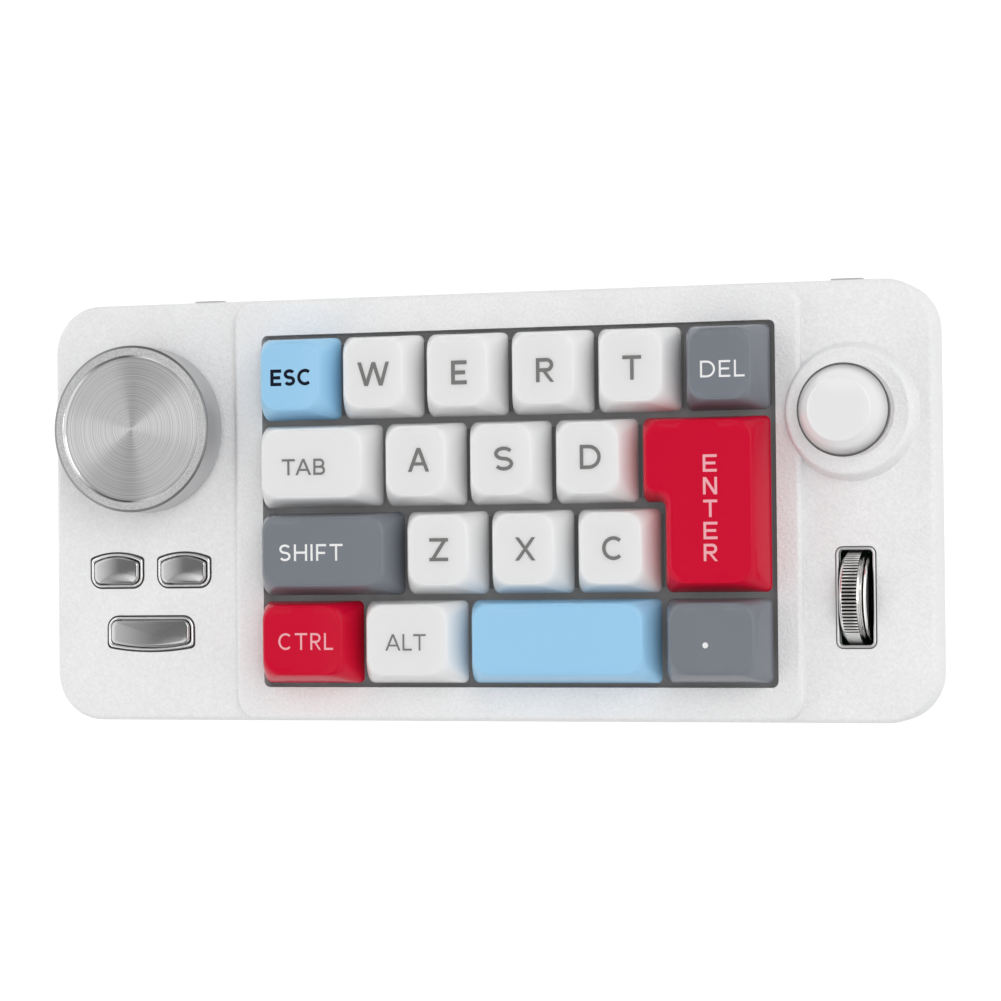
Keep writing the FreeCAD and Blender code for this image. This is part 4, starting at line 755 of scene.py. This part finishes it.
# Width of each letter as a share of its height.
LETTER_WIDTHS = {
    "A": 0.94, "B": 0.70, "C": 0.84, "D": 0.80, "E": 0.62, "F": 0.60, "H": 0.78, "I": 0.13,
    "L": 0.58, "N": 0.80, "R": 0.68, "S": 0.66, "T": 0.78, "W": 1.28, "X": 0.84, "Z": 0.74,
}
LETTER_GAP = 0.2
# Pairs that stand closer or wider than the usual gap.
PAIR_GAPS = {"TA": 0.02, "AB": 0.13, "AL": 0.13, "LT": 0.1, "ES": 0.14, "SC": 0.12}


def word_strokes(word, middle, width, height, weight):
    """The strokes of a word, fitted to a width and height round its middle."""
    gaps = [PAIR_GAPS.get(word[number:number + 2], LETTER_GAP) for number in range(len(word) - 1)]
    total = sum(LETTER_WIDTHS[letter] for letter in word) + sum(gaps)
    scale = width / (total * height)
    made = []
    x = -total / 2
    for letter, gap in zip(word, gaps + [0.0]):
        for outline in letter_strokes(letter, LETTER_WIDTHS[letter] * scale, weight):
            made.append([middle + Vector((x * scale + p.x, p.y - 0.5)) * height for p in outline])
        x += LETTER_WIDTHS[letter] + gap
    return made


def anticlockwise(outline):
    """An outline in the turning sense that counts as its inside."""
    area = sum(last.cross(first) for last, first in zip(outline, outline[1:] + outline[:1]))
    return outline if area > 0 else outline[::-1]


def build_legend(name, outlines, material):
    """Lettering let into a cap's top, a hair proud of it."""
    dish = cap_dish(name)
    top = box("cap_" + name)[1].z + sizes().legend_proud
    under = top - 0.25 * MM
    flat, triangles = fill([anticlockwise(outline) for outline in outlines], limit=1e-7)
    solid = slab(flat, triangles, lambda p: top - dish(p.x), lambda p: under - dish(p.x))
    legend = add_object("legend_" + name, *solid, [material], 30.0)
    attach(legend, "key_" + name)


# Pieces round the keys

def arched_outline(middle, wide, deep, rise, grow, way, corner, steps=6):
    """A button's outline: an edge that bows out to the back (way 1) or to the front (way -1)."""
    half = wide / 2 + grow
    reach = deep / 2 + grow
    tight = max(corner + grow, 0.5 * MM)
    points = [Vector((-half, -reach)), Vector((half, -reach))]
    radii = [tight, tight]
    bends = 10
    radius = (half ** 2 + rise ** 2) / (2 * rise)
    for step in range(bends + 1):
        x = half - 2 * half * step / bends
        points.append(Vector((x, reach - rise + math.sqrt(radius ** 2 - x ** 2) - (radius - rise))))
        radii.append(tight if step in (0, bends) else 0.0)
    outline = rounded_outline(points, radii, steps)
    return [middle + Vector((p.x, p.y * way)) for p in outline]


# Each button's bow, the way in which it bows and how far its face falls to the front and the back.
BUTTONS = {
    "button_left": (1.3 * MM, 1, 0.22 * MM),
    "button_right": (1.3 * MM, 1, 0.22 * MM),
    "button_wide": (1.0 * MM, -1, 0.06 * MM),
}
BUTTON_CORNER = 1.6 * MM


def button_outline(name, grow):
    """The outline of a bright button, from its node's box, grown all round."""
    low, high, middle = box(name)
    flange = sizes().button_flange
    rise, way, fall = BUTTONS[name]
    wide = high.x - low.x - 2 * flange
    deep = high.y - low.y - 2 * flange
    return arched_outline(middle.xy, wide, deep, rise, grow, way, BUTTON_CORNER)


def build_button(name, material):
    """A bright button: pillowed face, tight edge, flange and pusher."""
    low, high, middle = box(name)
    flange = sizes().button_flange
    flange_low = high.z - 4.35 * MM
    flange_top = flange_low + 0.9 * MM
    edge_deep = 0.55 * MM
    edge_wide = 0.42 * MM
    falls = (0.3 * MM, BUTTONS[name][2])
    halves = ((high - low).xy - Vector((flange, flange)) * 2) / 2

    def domed(spot):
        shares = [(spot[axis] - middle[axis]) / halves[axis] for axis in (0, 1)]
        return high.z - falls[0] * shares[0] ** 2 - falls[1] * shares[1] ** 2

    outer = button_outline(name, flange)
    rings = [raised(outer, flange_low), raised(outer, flange_top)]
    rings.append(raised(button_outline(name, 0.0), flange_top))
    steps = 6
    for step in range(steps + 1):
        angle = math.pi / 2 * step / steps
        edge = button_outline(name, -edge_wide * (1 - math.cos(angle)))
        rings.append([(p.x, p.y, domed(p) - edge_deep * (1 - math.sin(angle))) for p in edge])
    steps = 10
    for step in range(1, steps):
        spots = [middle.xy.lerp(point, 1 - step / steps) for point in edge]
        rings.append([(p.x, p.y, domed(p)) for p in spots])
    rings.append([(middle.x, middle.y, high.z)] * len(edge))
    button = stacked(rings)
    button[1].append(tuple(range(len(edge))))
    reach = [(1.5 * MM, low.z), (1.5 * MM, flange_low)]
    join(button, lathe(reach, middle.xy.to_3d(), 24))
    add_piece("face_" + name, button, [material], 50.0, name, name)


def build_rims(bright, dark, grey):
    """The bright rims round the buttons and the wheel's slot: a rounded lip and a flush black seam each, a painted
    shadow of the gap between rim and case.
    """
    low, high, middle = box("metal_rims")
    band = sizes().rim_band
    fit = 0.2 * MM
    lip = 0.28 * MM
    seat = high.z - 0.33 * MM
    under = seat - 0.1 * MM
    lips = [(0.0, low.z), (0.0, high.z - lip)]
    for step in range(1, 8):
        angle = math.pi * step / 8
        lips.append((band / 2 - band / 2 * math.cos(angle), high.z - lip + lip * math.sin(angle)))

    def section(seam):
        seams = [(band, high.z - lip), (band, seat), (band + seam, seat), (band + seam, under)]
        return lips + seams + [(band, under), (band, low.z)]

    rims = ([], [])
    for name in BUTTONS:
        rings = [raised(button_outline(name, fit + out), height) for out, height in section(0.36 * MM)]
        join(rims, stacked(rings, loop=True))
    left, right, front, back = slot_edges()
    rings = []
    for out, height in section(0.12 * MM):
        corners = bar(left - out, front - out, right + out, back + out)
        rings.append(raised(rounded_outline(corners, [0.8 * MM + out] * 4, 6), height))
    join(rims, stacked(rings, loop=True))

    # Faces at the seam's height take the black material, a painted shadow of the gap round each rim.
    def choose(point):
        if abs(point.z - seat) < 0.06 * MM:
            return 1
        return 2 if point.x > left - 2 * MM else 0

    add_piece("bright_rims", rims, [bright, dark, grey], 50.0, "case", "metal_rims", choose)


def slot_edges():
    """The edges of the wheel's slot, inside its rim."""
    low, high, middle = box("thumb_wheel")
    inset = WHEEL_AXLE - 0.7 * MM
    reach = 9.9 * MM
    return low.x + inset, high.x - inset, middle.y - reach, middle.y + reach


def build_dial(materials):
    """The dial: satin wall, thin edge darkened with painted shade, satin ring, polished groove, spun disc and the
    shaft.
    """
    low, high, middle = box("dial_knob")
    middle.z = high.z
    radius = (high.x - low.x) / 2
    tall = 8.4 * MM
    edge = 0.5 * MM
    lip = 0.18 * MM
    ring = radius - edge - 1.6 * MM
    disc = ring - 0.52 * MM
    sink = 0.45 * MM
    under = 0.5 * MM
    shaft = 3.0 * MM
    hollow = 9.0 * MM
    ceiling = -3.0 * MM
    fine = 0.03 * MM
    foot = low.z - high.z
    sections = [(shaft * 0.02, foot), (shaft - 0.2 * MM, foot), (shaft, foot + 0.2 * MM), (shaft, ceiling)]
    sections += [(hollow, ceiling), (hollow, -tall), (radius - under, -tall), (radius, -tall + under)]
    sections += [(radius, -lip - fine), (radius - fine, -lip + fine), (radius - edge + fine, -fine)]
    sections += [(radius - edge - fine, 0.0), (ring + fine, 0.0), (ring - fine, -fine)]
    for step in range(1, 8):
        share = step / 7
        sections.append((ring - (ring - disc) * share, -fine - (sink + fine) * share ** 0.85))
    sections.append((disc - 0.08 * MM, -sink))
    sections += [((disc - 0.2 * MM) * (1 - step / 12), -sink) for step in range(1, 12)]
    sections.append((0.05 * MM, -sink))

    def choose(point):
        away = (point.xy - middle.xy).length
        low_down = point.z < middle.z - lip - fine * 1.5
        if low_down and (away > ring or point.z < middle.z - 1.2 * MM):
            return 0
        if away > radius - edge - fine * 1.5:
            return 1
        return 2 if away > ring else 3 if away > disc else 4

    add_piece("turned_dial", lathe(sections, middle, 200), materials, 25.0, "dial", "dial_knob", choose)


def build_stick(white, dark):
    """The thumbstick: mushroom cap, neck, dome, stalk and hub, turned in one, with its pins; the ledge round the
    dome's foot is painted dark as shade.
    """
    low, high, middle = box("stick_cap")
    middle.z = next(joint["pos_m"][2] for joint in frame["joints"] if joint["child"] == "stick")
    wide = (high.x - low.x) / 2
    top = high.z - middle.z
    rim = top - 4.4 * MM
    under = rim - 0.9 * MM
    flat = 6.6 * MM
    foot = wide - 0.32 * MM
    swell = 0.3 * MM
    dish = 0.4 * MM
    neck = 3.2 * MM
    dome = 8.6 * MM
    inner = dome - 1.2 * MM
    skirt = 0.8 * MM
    stalk = 1.6 * MM
    hub = 2.6 * MM

    def arc(radius, start, end, steps):
        angles = [start + (end - start) * step / steps for step in range(steps + 1)]
        return [(radius * math.sin(angle), radius * math.cos(angle)) for angle in angles]

    sections = arc(hub, math.radians(178), math.radians(38), 14) + [(stalk, hub)]
    sections += arc(inner, math.asin(stalk / inner), math.acos(skirt / inner), 8)
    sections += arc(dome, math.acos(skirt / dome), math.asin((neck + 0.5 * MM) / dome), 12)
    sections += curve_points((neck + 0.4 * MM, dome - 0.6 * MM), (neck, dome), (neck, dome + 1.0 * MM), 4)
    sections += curve_points((neck, under - 0.6 * MM), (neck, under), (neck + 0.8 * MM, under), 4)
    sections.append((wide - 1.4 * MM, under))
    sections += curve_points((wide - 0.9 * MM, under), (wide, under), (wide, rim - 0.1 * MM), 5)
    sections += [(wide - 0.08 * MM, rim), (foot, rim)]
    crest = (flat + 0.25 * MM, top - 0.35 * MM)
    chord = Vector((crest[0] - foot, crest[1] - rim))
    outward = Vector((chord.y, -chord.x)).normalized()
    for step in range(1, 13):
        share = step / 12
        spot = Vector((foot, rim)) + chord * share + outward * swell * 4 * share * (1 - share)
        sections.append(tuple(spot))
    brim = flat - 0.4 * MM
    sections += curve_points(crest, (flat + 0.02 * MM, top), (brim, top), 6)[1:]
    for step in range(1, 13):
        radius = max(brim * (1 - step / 12), 0.05 * MM)
        sections.append((radius, top - dish * (1 - (radius / brim) ** 4)))
    stick = lathe(sections, middle, 128)
    join(stick, lathe([(0.7 * MM, -4.9 * MM), (0.7 * MM, 4.9 * MM)], middle, 20, "X"))
    spare = 0.02 * MM

    # The ledge and the wall under it take the dark material: a painted shadow ring round the foot of the dome.
    def choose(point):
        ledge = middle.z + under - spare < point.z < middle.z + rim + spare
        return 1 if ledge and (point.xy - middle.xy).length > foot - spare else 0

    add_piece("mushroom_stick", stick, [white, dark], 32.0, "stick", "stick_cap", choose)


WHEEL_AXLE = 2.6 * MM
# The wheel's profile beside its ribs, in millimetres: place along the axle from the end of the ribbed
# band, and how far it lies inside the wheel's radius.
WHEEL_SIDE = [
    (0.0, 0.1), (0.08, 0.6), (0.4, 0.7), (0.5, 0.45), (0.7, 0.32), (0.9, 0.35), (1.05, 0.55), (1.15, 0.95),
    (1.3, 0.95), (1.38, 0.6), (1.5, 0.42), (1.68, 0.36), (1.86, 0.44), (1.98, 0.62),
]
# The same from the wheel's left face to the start of the ribs.
WHEEL_START = [(0.2, 0.6), (0.0, 0.36), (-0.2, 0.16), (-0.42, 0.08)]


def build_wheel(ribbed, smooth, plain):
    """The thumb wheel: rounded ribs with a smooth land, two polished rims, side discs and axle; the land is pale
    plastic, a painted highlight on the metal wheel.
    """
    low, high, middle = box("thumb_wheel")
    half = (high.x - low.x) / 2 - WHEEL_AXLE
    radius = (high.z - low.z) / 2
    ribs = 80
    land = 9
    samples = 8
    depth = 0.45 * MM
    band_end = -half + 3.5 * MM
    left = -half - 0.3 * MM
    hub = 1.0 * MM

    def rib(step):
        if -land <= step // samples - ribs // 2 < 0:
            return 0.0
        return depth * (0.5 - 0.5 * math.cos(2 * math.pi * (step % samples) / samples))

    rows = [(left, hub, 0), (left, radius - 1.0 * MM, 0)]
    rows += [(-half - out * MM, radius - fall * MM, 0) for out, fall in WHEEL_START]
    rows += [(-half + 0.5 * MM, radius - 0.05 * MM, 1), (-half + 0.65 * MM, radius, 1)]
    rows += [(band_end - 0.2 * MM, radius, 1), (band_end - 0.02 * MM, radius - 0.08 * MM, 1)]
    rows += [(band_end + out * MM, radius - fall * MM, 0) for out, fall in WHEEL_SIDE]
    rows += [(half - 0.15 * MM, radius - 0.98 * MM, 0), (half, radius - 1.3 * MM, 0), (half, hub, 0)]
    steps = ribs * samples
    wheel = lathe([(1.0, across) for across, out, ribbing in rows], Vector(), steps, "X")
    for number, point in enumerate(wheel[0]):
        across, out, ribbing = rows[number // steps]
        out -= ribbing * rib(number % steps)
        wheel[0][number] = middle + Vector((point.x, point.y * out, point.z * out))
    reach = half + WHEEL_AXLE
    join(wheel, lathe([(1.2 * MM, -reach), (1.2 * MM, reach)], middle, 24, "X"))
    land_turn = math.radians(180.0 * (1 - 2 * land / ribs))

    def choose(point):
        if not middle.x - half + 0.5 * MM < point.x < middle.x + band_end:
            return 1
        return 2 if math.atan2(point.z - middle.z, point.y - middle.y) > land_turn else 0

    add_piece("ribbed_wheel", wheel, [ribbed, smooth, plain], 30.0, "wheel", "thumb_wheel", choose)


def build_screws(material):
    """Screws with a cross recess in each head."""
    low, high, middle = box("case_screws")
    screws = ([], [])
    steps = 24
    head = 2.2 * MM
    shank = 1.2 * MM
    tall = 1.3 * MM
    bevel = 0.25 * MM
    recess = 0.75 * MM
    sections = [(head - bevel, 0), (head, bevel), (head, tall), (shank, tall), (shank, high.z - low.z)]
    for spot in screw_places(low.z):
        cross = cross_outline(spot, 2.2 * MM, 0.6 * MM)
        flat, triangles = fill([circle(spot, head - bevel, steps), cross], hole=True)
        join(screws, (raised(flat, low.z), triangles))
        walls = stacked([raised(cross, low.z), raised(cross, low.z + recess)])
        walls[1].append(tuple(range(len(cross), 2 * len(cross))))
        join(screws, walls)
        join(screws, lathe(sections, Vector((*spot, low.z)), steps, ends=(-1,)))
    add_piece("cross_head_screws", screws, [material], 35.0, "case", "case_screws")


def screw_places(level):
    """The middles of the screw heads, from the lowest points of the node."""
    groups = []
    for vertex in frame["nodes"]["case_screws"].data.vertices:
        spot = vertex.co.xy
        if vertex.co.z > level + 0.01 * MM:
            continue
        near = [group for group in groups if (group[0] - spot).length < 6 * MM]
        if near:
            near[0].append(spot)
        else:
            groups.append([spot])
    middles = []
    for group in groups:
        ends = [(min(p[axis] for p in group), max(p[axis] for p in group)) for axis in (0, 1)]
        middles.append(Vector([sum(pair) / 2 for pair in ends]))
    return middles


# Studio

def aim_camera():
    """Sets the camera at the photograph's angle: nearly overhead, a little to the object's right."""
    yaw = math.radians(17.55)
    pitch = math.radians(-1.12)
    roll = math.radians(-0.57)
    away = 706.5 * MM
    target = Vector((5.81, 0.99, 21.5)) * MM
    focal_pixels = 3300.0
    frame_pixels = 1001.0
    back = Vector((math.sin(yaw) * math.cos(pitch), math.sin(pitch), math.cos(yaw) * math.cos(pitch)))
    right = Vector((0, 1, 0)).cross(back).normalized()
    up = back.cross(right)
    turned_right = right * math.cos(roll) + up * math.sin(roll)
    turned_up = up * math.cos(roll) - right * math.sin(roll)
    data = bpy.data.cameras.new("camera")
    data.sensor_width = 36.0
    data.lens = data.sensor_width * focal_pixels / frame_pixels
    data.clip_start = 0.01
    data.clip_end = 20.0
    camera = bpy.data.objects.new("camera", data)
    place = target + back * away
    rows = [tuple(row) for row in zip(turned_right, turned_up, back, place)]
    camera.matrix_world = Matrix((*rows, (0, 0, 0, 1)))
    bpy.context.scene.collection.objects.link(camera)
    bpy.context.scene.camera = camera


def add_lamp(name, place, side, power):
    """A soft square lamp that points at the object."""
    data = bpy.data.lights.new(name, "AREA")
    data.shape = "RECTANGLE"
    data.size = side
    data.size_y = side
    data.energy = power
    lamp = bpy.data.objects.new(name, data)
    lamp.location = place
    lamp.rotation_euler = (-Vector(place)).to_track_quat("-Z", "Y").to_euler()
    bpy.context.scene.collection.objects.link(lamp)


def make_floor():
    """A pale floor that looks white and keeps the object's shadow."""
    reach = 4.0
    material = bpy.data.materials.new("pale_floor")
    material.use_nodes = True
    tree = material.node_tree
    tree.nodes.clear()
    path = node(tree, "ShaderNodeLightPath").outputs
    seen = maths(tree, "MAXIMUM", path["Is Camera Ray"], path["Is Glossy Ray"])
    seen = maths(tree, "MAXIMUM", seen, path["Is Transmission Ray"])
    plain = node(tree, "ShaderNodeBsdfDiffuse", [("Color", rgba((0.8, 0.8, 0.8)))])
    shaded = node(tree, "ShaderNodeBsdfDiffuse", [("Color", rgba((0.4, 0.4, 0.4)))])
    glow = node(tree, "ShaderNodeEmission", [("Color", WHITE), ("Strength", 0.75)])
    white = node(tree, "ShaderNodeAddShader", [(0, shaded.outputs[0]), (1, glow.outputs[0])])
    mixed = node(tree, "ShaderNodeMixShader", [(0, seen), (1, plain.outputs[0]), (2, white.outputs[0])])
    node(tree, "ShaderNodeOutputMaterial", [("Surface", mixed.outputs[0])])
    corners = [(p.x, p.y, 0.0) for p in bar(-reach, -reach, reach, reach)]
    add_object("floor", corners, [(0, 1, 2, 3)], [material])


# The studio's bright cards: compass angle from the right, elevation, half size and softness, in degrees.
CARDS = {
    "card_front": (-133.0, 71.0, 8.0, 5.0),
    "card_right": (-10.0, 66.0, 5.0, 3.0),
}


def make_world():
    """A studio with a dark foot, lit walls and two bright cards, plain white where the camera sees it."""
    light = bpy.context.scene.keypad_light
    world = bpy.data.worlds.new("studio")
    bpy.context.scene.world = world
    world.use_nodes = True
    tree = world.node_tree
    background = tree.nodes["Background"]
    place = node(tree, "ShaderNodeTexCoord").outputs["Generated"]
    parts = node(tree, "ShaderNodeSeparateXYZ", [(0, place)])
    level = between(tree, parts.outputs["Z"], 0.12, 0.5, light.horizon, light.sky_low)
    glows = [between(tree, parts.outputs["Z"], 0.7, 0.95, 0.0, light.sky_high - light.sky_low)]
    for start, end, wall in ((-0.38, -0.62, light.wall_left), (0.12, 0.5, light.wall_right)):
        glows.append(between(tree, parts.outputs["X"], start, end, 0.0, wall))
    for name, (compass, elevation, half, soft) in CARDS.items():
        turn = math.radians(compass)
        rise = math.radians(elevation)
        towards = (math.cos(turn) * math.cos(rise), math.sin(turn) * math.cos(rise), math.sin(rise))
        near = node(tree, "ShaderNodeVectorMath", [(0, place), (1, towards)], operation="DOT_PRODUCT")
        edges = [math.cos(math.radians(half + soft)), math.cos(math.radians(half - soft))]
        glows.append(between(tree, near.outputs["Value"], *edges, 0.0, getattr(light, name)))
    for glow in glows:
        level = maths(tree, "ADD", level, glow)
    background.inputs["Color"].default_value = WHITE
    seen = node(tree, "ShaderNodeLightPath").outputs["Is Camera Ray"]
    mixed = node(tree, "ShaderNodeMix", [(0, seen), (2, level), (3, 1.0)], data_type="FLOAT")
    tree.links.new(mixed.outputs[0], background.inputs["Strength"])


# Operators, one for each group of pieces

class KEYPAD_OT_case(bpy.types.Operator):
    """Give the case shells and the plate between the keys their finish"""

    bl_idname = "keypad.case"
    bl_label = "Dress the case"

    def execute(self, context):
        white = plastic("case_satin_white", colours().case_white, 0.44, 0.0006, 0.1 * MM, 0.16)
        tree = white.node_tree
        away, along = away_from(tree, box("stick_cap")[2])
        scattered_light(white, 0.12, between(tree, away, 9.5 * MM, 14.0 * MM, 1.0, 0.0))
        dress("top_case", white)
        dress("bottom_case", white)
        # Painted light: the plate's grey is set lighter than the plate, and it glows faintly, so the gaps between
        # the caps read mid grey.
        plate = plastic("dark_plate", colours().plate, 0.5, 0.0003, 0.004 * MM, 0.08)
        scattered_light(plate, 0.035)
        dress("switch_plate", plate)
        return {"FINISHED"}


class KEYPAD_OT_caps(bpy.types.Operator):
    """Build every keycap"""

    bl_idname = "keypad.caps"
    bl_label = "Build the keycaps"

    def execute(self, context):
        made = {}
        for slot in LEGEND_INKS:
            made[slot] = plastic("gloss_" + slot, getattr(colours(), slot), 0.22, 0.0002, 0.0012 * MM, 0.015)
        soften(made["cap_white"], 0.6)
        main_shader(made["cap_red"]).inputs["Specular IOR Level"].default_value = 0.2
        for name in KEY_NAMES:
            build_cap(name, made[SLOTS["cap_" + name]])
        return {"FINISHED"}


class KEYPAD_OT_legends(bpy.types.Operator):
    """Letter the keycaps"""

    bl_idname = "keypad.legends"
    bl_label = "Letter the keycaps"

    def execute(self, context):
        inks = {
            "ink_grey": (0.18, 0.18, 0.175),
            "ink_dark": (0.006, 0.008, 0.02),
            "ink_pink": (0.86, 0.42, 0.46),
            "ink_white": (0.86, 0.86, 0.86),
        }
        made = {name: plastic(name, colour, 0.38, variation=0.05) for name, colour in inks.items()}
        main_shader(made["ink_dark"]).inputs["Specular IOR Level"].default_value = 0.1
        lettering = {}
        for name, (word, right, back, width, height, weight) in LEGENDS.items():
            middle = box("cap_" + name)[2].xy + Vector((right, back)) * MM
            lettering[name] = word_strokes(word, middle, width * MM, height * MM, weight)
        column = []
        wide, high = [side * MM for side in COLUMN_SIZE]
        for letter, back in COLUMN_LETTERS:
            column += word_strokes(letter, Vector((COLUMN_X, back)) * MM, wide, high, COLUMN_WEIGHT)
        lettering["enter"] = column
        lettering["dot"] = [circle(Vector(DOT_PLACE) * MM, 0.62 * MM, 20)]
        for name, outlines in lettering.items():
            build_legend(name, outlines, made[LEGEND_INKS[SLOTS["cap_" + name]]])
        return {"FINISHED"}


class KEYPAD_OT_dial(bpy.types.Operator):
    """Build the dial and dress its encoder"""

    bl_idname = "keypad.dial"
    bl_label = "Build the dial"

    def execute(self, context):
        # The second share, 0.38, darkens the dial's thin outer edge: painted shade and painted reflection of the
        # dark gap where the dial meets the case.
        shades = [rgba(colours().dial, share) for share in (0.88, 0.38, 0.93, 1.05, 0.98)]
        build_dial([
            metal("dial_wall", shades[0], 0.35, 0.0003, 0.004 * MM),
            metal("dial_edge", shades[1], 0.35),
            metal("dial_ring", shades[2], 0.5, 0.0004, 0.03 * MM, 0.6),
            metal("dial_groove", shades[3], 0.13),
            spun_metal("dial_spun", shades[4], 0.42, box("dial_knob")[2], 0.00028, 0.008 * MM, 0.94),
        ])
        dress("dial_encoder", plastic("encoder_black", (0.03, 0.03, 0.032), 0.45))
        return {"FINISHED"}


class KEYPAD_OT_buttons(bpy.types.Operator):
    """Build the bright buttons and rims and dress the small switches"""

    bl_idname = "keypad.buttons"
    bl_label = "Build the buttons"

    def execute(self, context):
        bright = metal("button_chrome", colours().bright, 0.1)
        for name in BUTTONS:
            build_button(name, bright)
        # Black for the seams: painted shadow of the gaps round the rims.
        seam = plastic("seam_black", (0.03, 0.03, 0.03), 0.5)
        rim = metal("rim_chrome", (0.9, 0.9, 0.9), 0.22)
        build_rims(rim, seam, metal("slot_chrome", (0.7, 0.7, 0.7), 0.38))
        dress("tact_switches", plastic("tact_black", (0.04, 0.04, 0.04), 0.4))
        return {"FINISHED"}


class KEYPAD_OT_stick(bpy.types.Operator):
    """Build the thumbstick and dress what carries it"""

    bl_idname = "keypad.stick"
    bl_label = "Build the thumbstick"

    def execute(self, context):
        white = plastic("stick_gloss", colours().stick, 0.12, 0.0003, 0.0006 * MM, 0.01, Coat_Weight=0.6)
        soften(white, 0.3)
        low, high, middle = box("stick_cap")
        radius = (high.x - low.x) / 2
        # Painted shade on the stick's dome, darkest near its rim.
        shade_rim(white, middle, radius - 2.2 * MM, radius - 0.3 * MM, 0.14)
        build_stick(white, plastic("stick_edge", (0.12, 0.12, 0.12), 0.45))
        dress("stick_module", plastic("module_black", (0.04, 0.04, 0.042), 0.45))
        dress("stick_gimbal", metal("gimbal_steel", (0.5, 0.5, 0.5), 0.3))
        return {"FINISHED"}


class KEYPAD_OT_wheel(bpy.types.Operator):
    """Build the thumb wheel and dress its bracket"""

    bl_idname = "keypad.wheel"
    bl_label = "Build the thumb wheel"

    def execute(self, context):
        low, high, axle = box("thumb_wheel")
        radius = (high.z - low.z) / 2
        ribbed = metal("wheel_ribbed", (0.93, 0.92, 0.9), 0.32)
        # Painted shade: black in the hollows between the ribs.
        paint_hollow_shade(ribbed, axle, radius - 0.3 * MM, radius - 0.14 * MM)
        smooth = metal("wheel_polished", (0.84, 0.83, 0.82), 0.2)
        # Painted shade: black in the groove between the polished rims.
        paint_hollow_shade(smooth, axle, radius - 0.95 * MM, radius - 0.62 * MM)
        # The land is a pale plastic where the wheel is metal: a painted highlight.
        build_wheel(ribbed, smooth, plastic("wheel_land", (0.8, 0.8, 0.79), 0.35, variation=0.06))
        dress("wheel_bracket", metal("bracket_steel", (0.45, 0.45, 0.46), 0.35))
        return {"FINISHED"}


class KEYPAD_OT_inside(bpy.types.Operator):
    """Dress the switches, the stems and the board"""

    bl_idname = "keypad.inside"
    bl_label = "Dress the inside"

    def execute(self, context):
        housing = plastic("switch_grey", (0.2, 0.2, 0.21), 0.4)
        scattered_light(housing, 0.035)
        dress("switch_housings", housing)
        stem = plastic("stem_red", (0.42, 0.03, 0.03), 0.35)
        for name in KEY_NAMES:
            dress("stem_" + name, stem)
        dress("circuit_board", plastic("board_green", (0.02, 0.11, 0.05), 0.35, variation=0.15))
        return {"FINISHED"}


class KEYPAD_OT_edges(bpy.types.Operator):
    """Dress the back edge and the underside"""

    bl_idname = "keypad.edges"
    bl_label = "Dress the edges"

    def execute(self, context):
        dark = plastic("shoulder_grey", (0.5, 0.5, 0.505), 0.42)
        dress("shoulder_left", dark)
        dress("shoulder_right", dark)
        dress("cable_socket", metal("socket_steel", (0.55, 0.55, 0.56), 0.28))
        dress("feet", plastic("foot_rubber", (0.06, 0.06, 0.06), 0.75, 0.0004, 0.02 * MM, 0.15))
        build_screws(metal("screw_steel", (0.4, 0.4, 0.41), 0.3))
        return {"FINISHED"}


class KEYPAD_OT_stage(bpy.types.Operator):
    """Set up the camera, the lamps, the background and the floor"""

    bl_idname = "keypad.stage"
    bl_label = "Set the stage"

    def execute(self, context):
        light = context.scene.keypad_light
        aim_camera()
        make_world()
        make_floor()
        add_lamp("key_lamp", (0.74, 0.58, 1.2), 1.1, light.key)
        add_lamp("fill_lamp", (-0.36, -0.9, 1.15), 0.22, light.fill)
        context.scene.view_settings.view_transform = "Standard"
        return {"FINISHED"}


class KEYPAD_PT_panel(bpy.types.Panel):
    """The steps that build the keypad, in order"""

    bl_idname = "KEYPAD_PT_panel"
    bl_label = "Keypad"
    bl_space_type = "VIEW_3D"
    bl_region_type = "UI"
    bl_category = "Keypad"

    def draw(self, context):
        for step in STEPS:
            self.layout.operator(step.bl_idname)


STEPS = (
    KEYPAD_OT_stage,
    KEYPAD_OT_case,
    KEYPAD_OT_caps,
    KEYPAD_OT_legends,
    KEYPAD_OT_dial,
    KEYPAD_OT_buttons,
    KEYPAD_OT_stick,
    KEYPAD_OT_wheel,
    KEYPAD_OT_inside,
    KEYPAD_OT_edges,
)
GROUPS = {"keypad_sizes": KeypadSizes, "keypad_colours": KeypadColours, "keypad_light": KeypadLight}


def register():
    for name, group in GROUPS.items():
        bpy.utils.register_class(group)
        setattr(bpy.types.Scene, name, bpy.props.PointerProperty(type=group))
    for item in (*STEPS, KEYPAD_PT_panel):
        bpy.utils.register_class(item)


def unregister():
    for item in reversed((*STEPS, KEYPAD_PT_panel)):
        bpy.utils.unregister_class(item)
    for name, group in GROUPS.items():
        delattr(bpy.types.Scene, name)
        bpy.utils.unregister_class(group)


def main():
    register()
    bpy.ops.keypad.stage()
    bpy.ops.keypad.case()
    bpy.ops.keypad.caps()
    bpy.ops.keypad.legends()
    bpy.ops.keypad.dial()
    bpy.ops.keypad.buttons()
    bpy.ops.keypad.stick()
    bpy.ops.keypad.wheel()
    bpy.ops.keypad.inside()
    bpy.ops.keypad.edges()


if __name__ == "__main__":
    main()
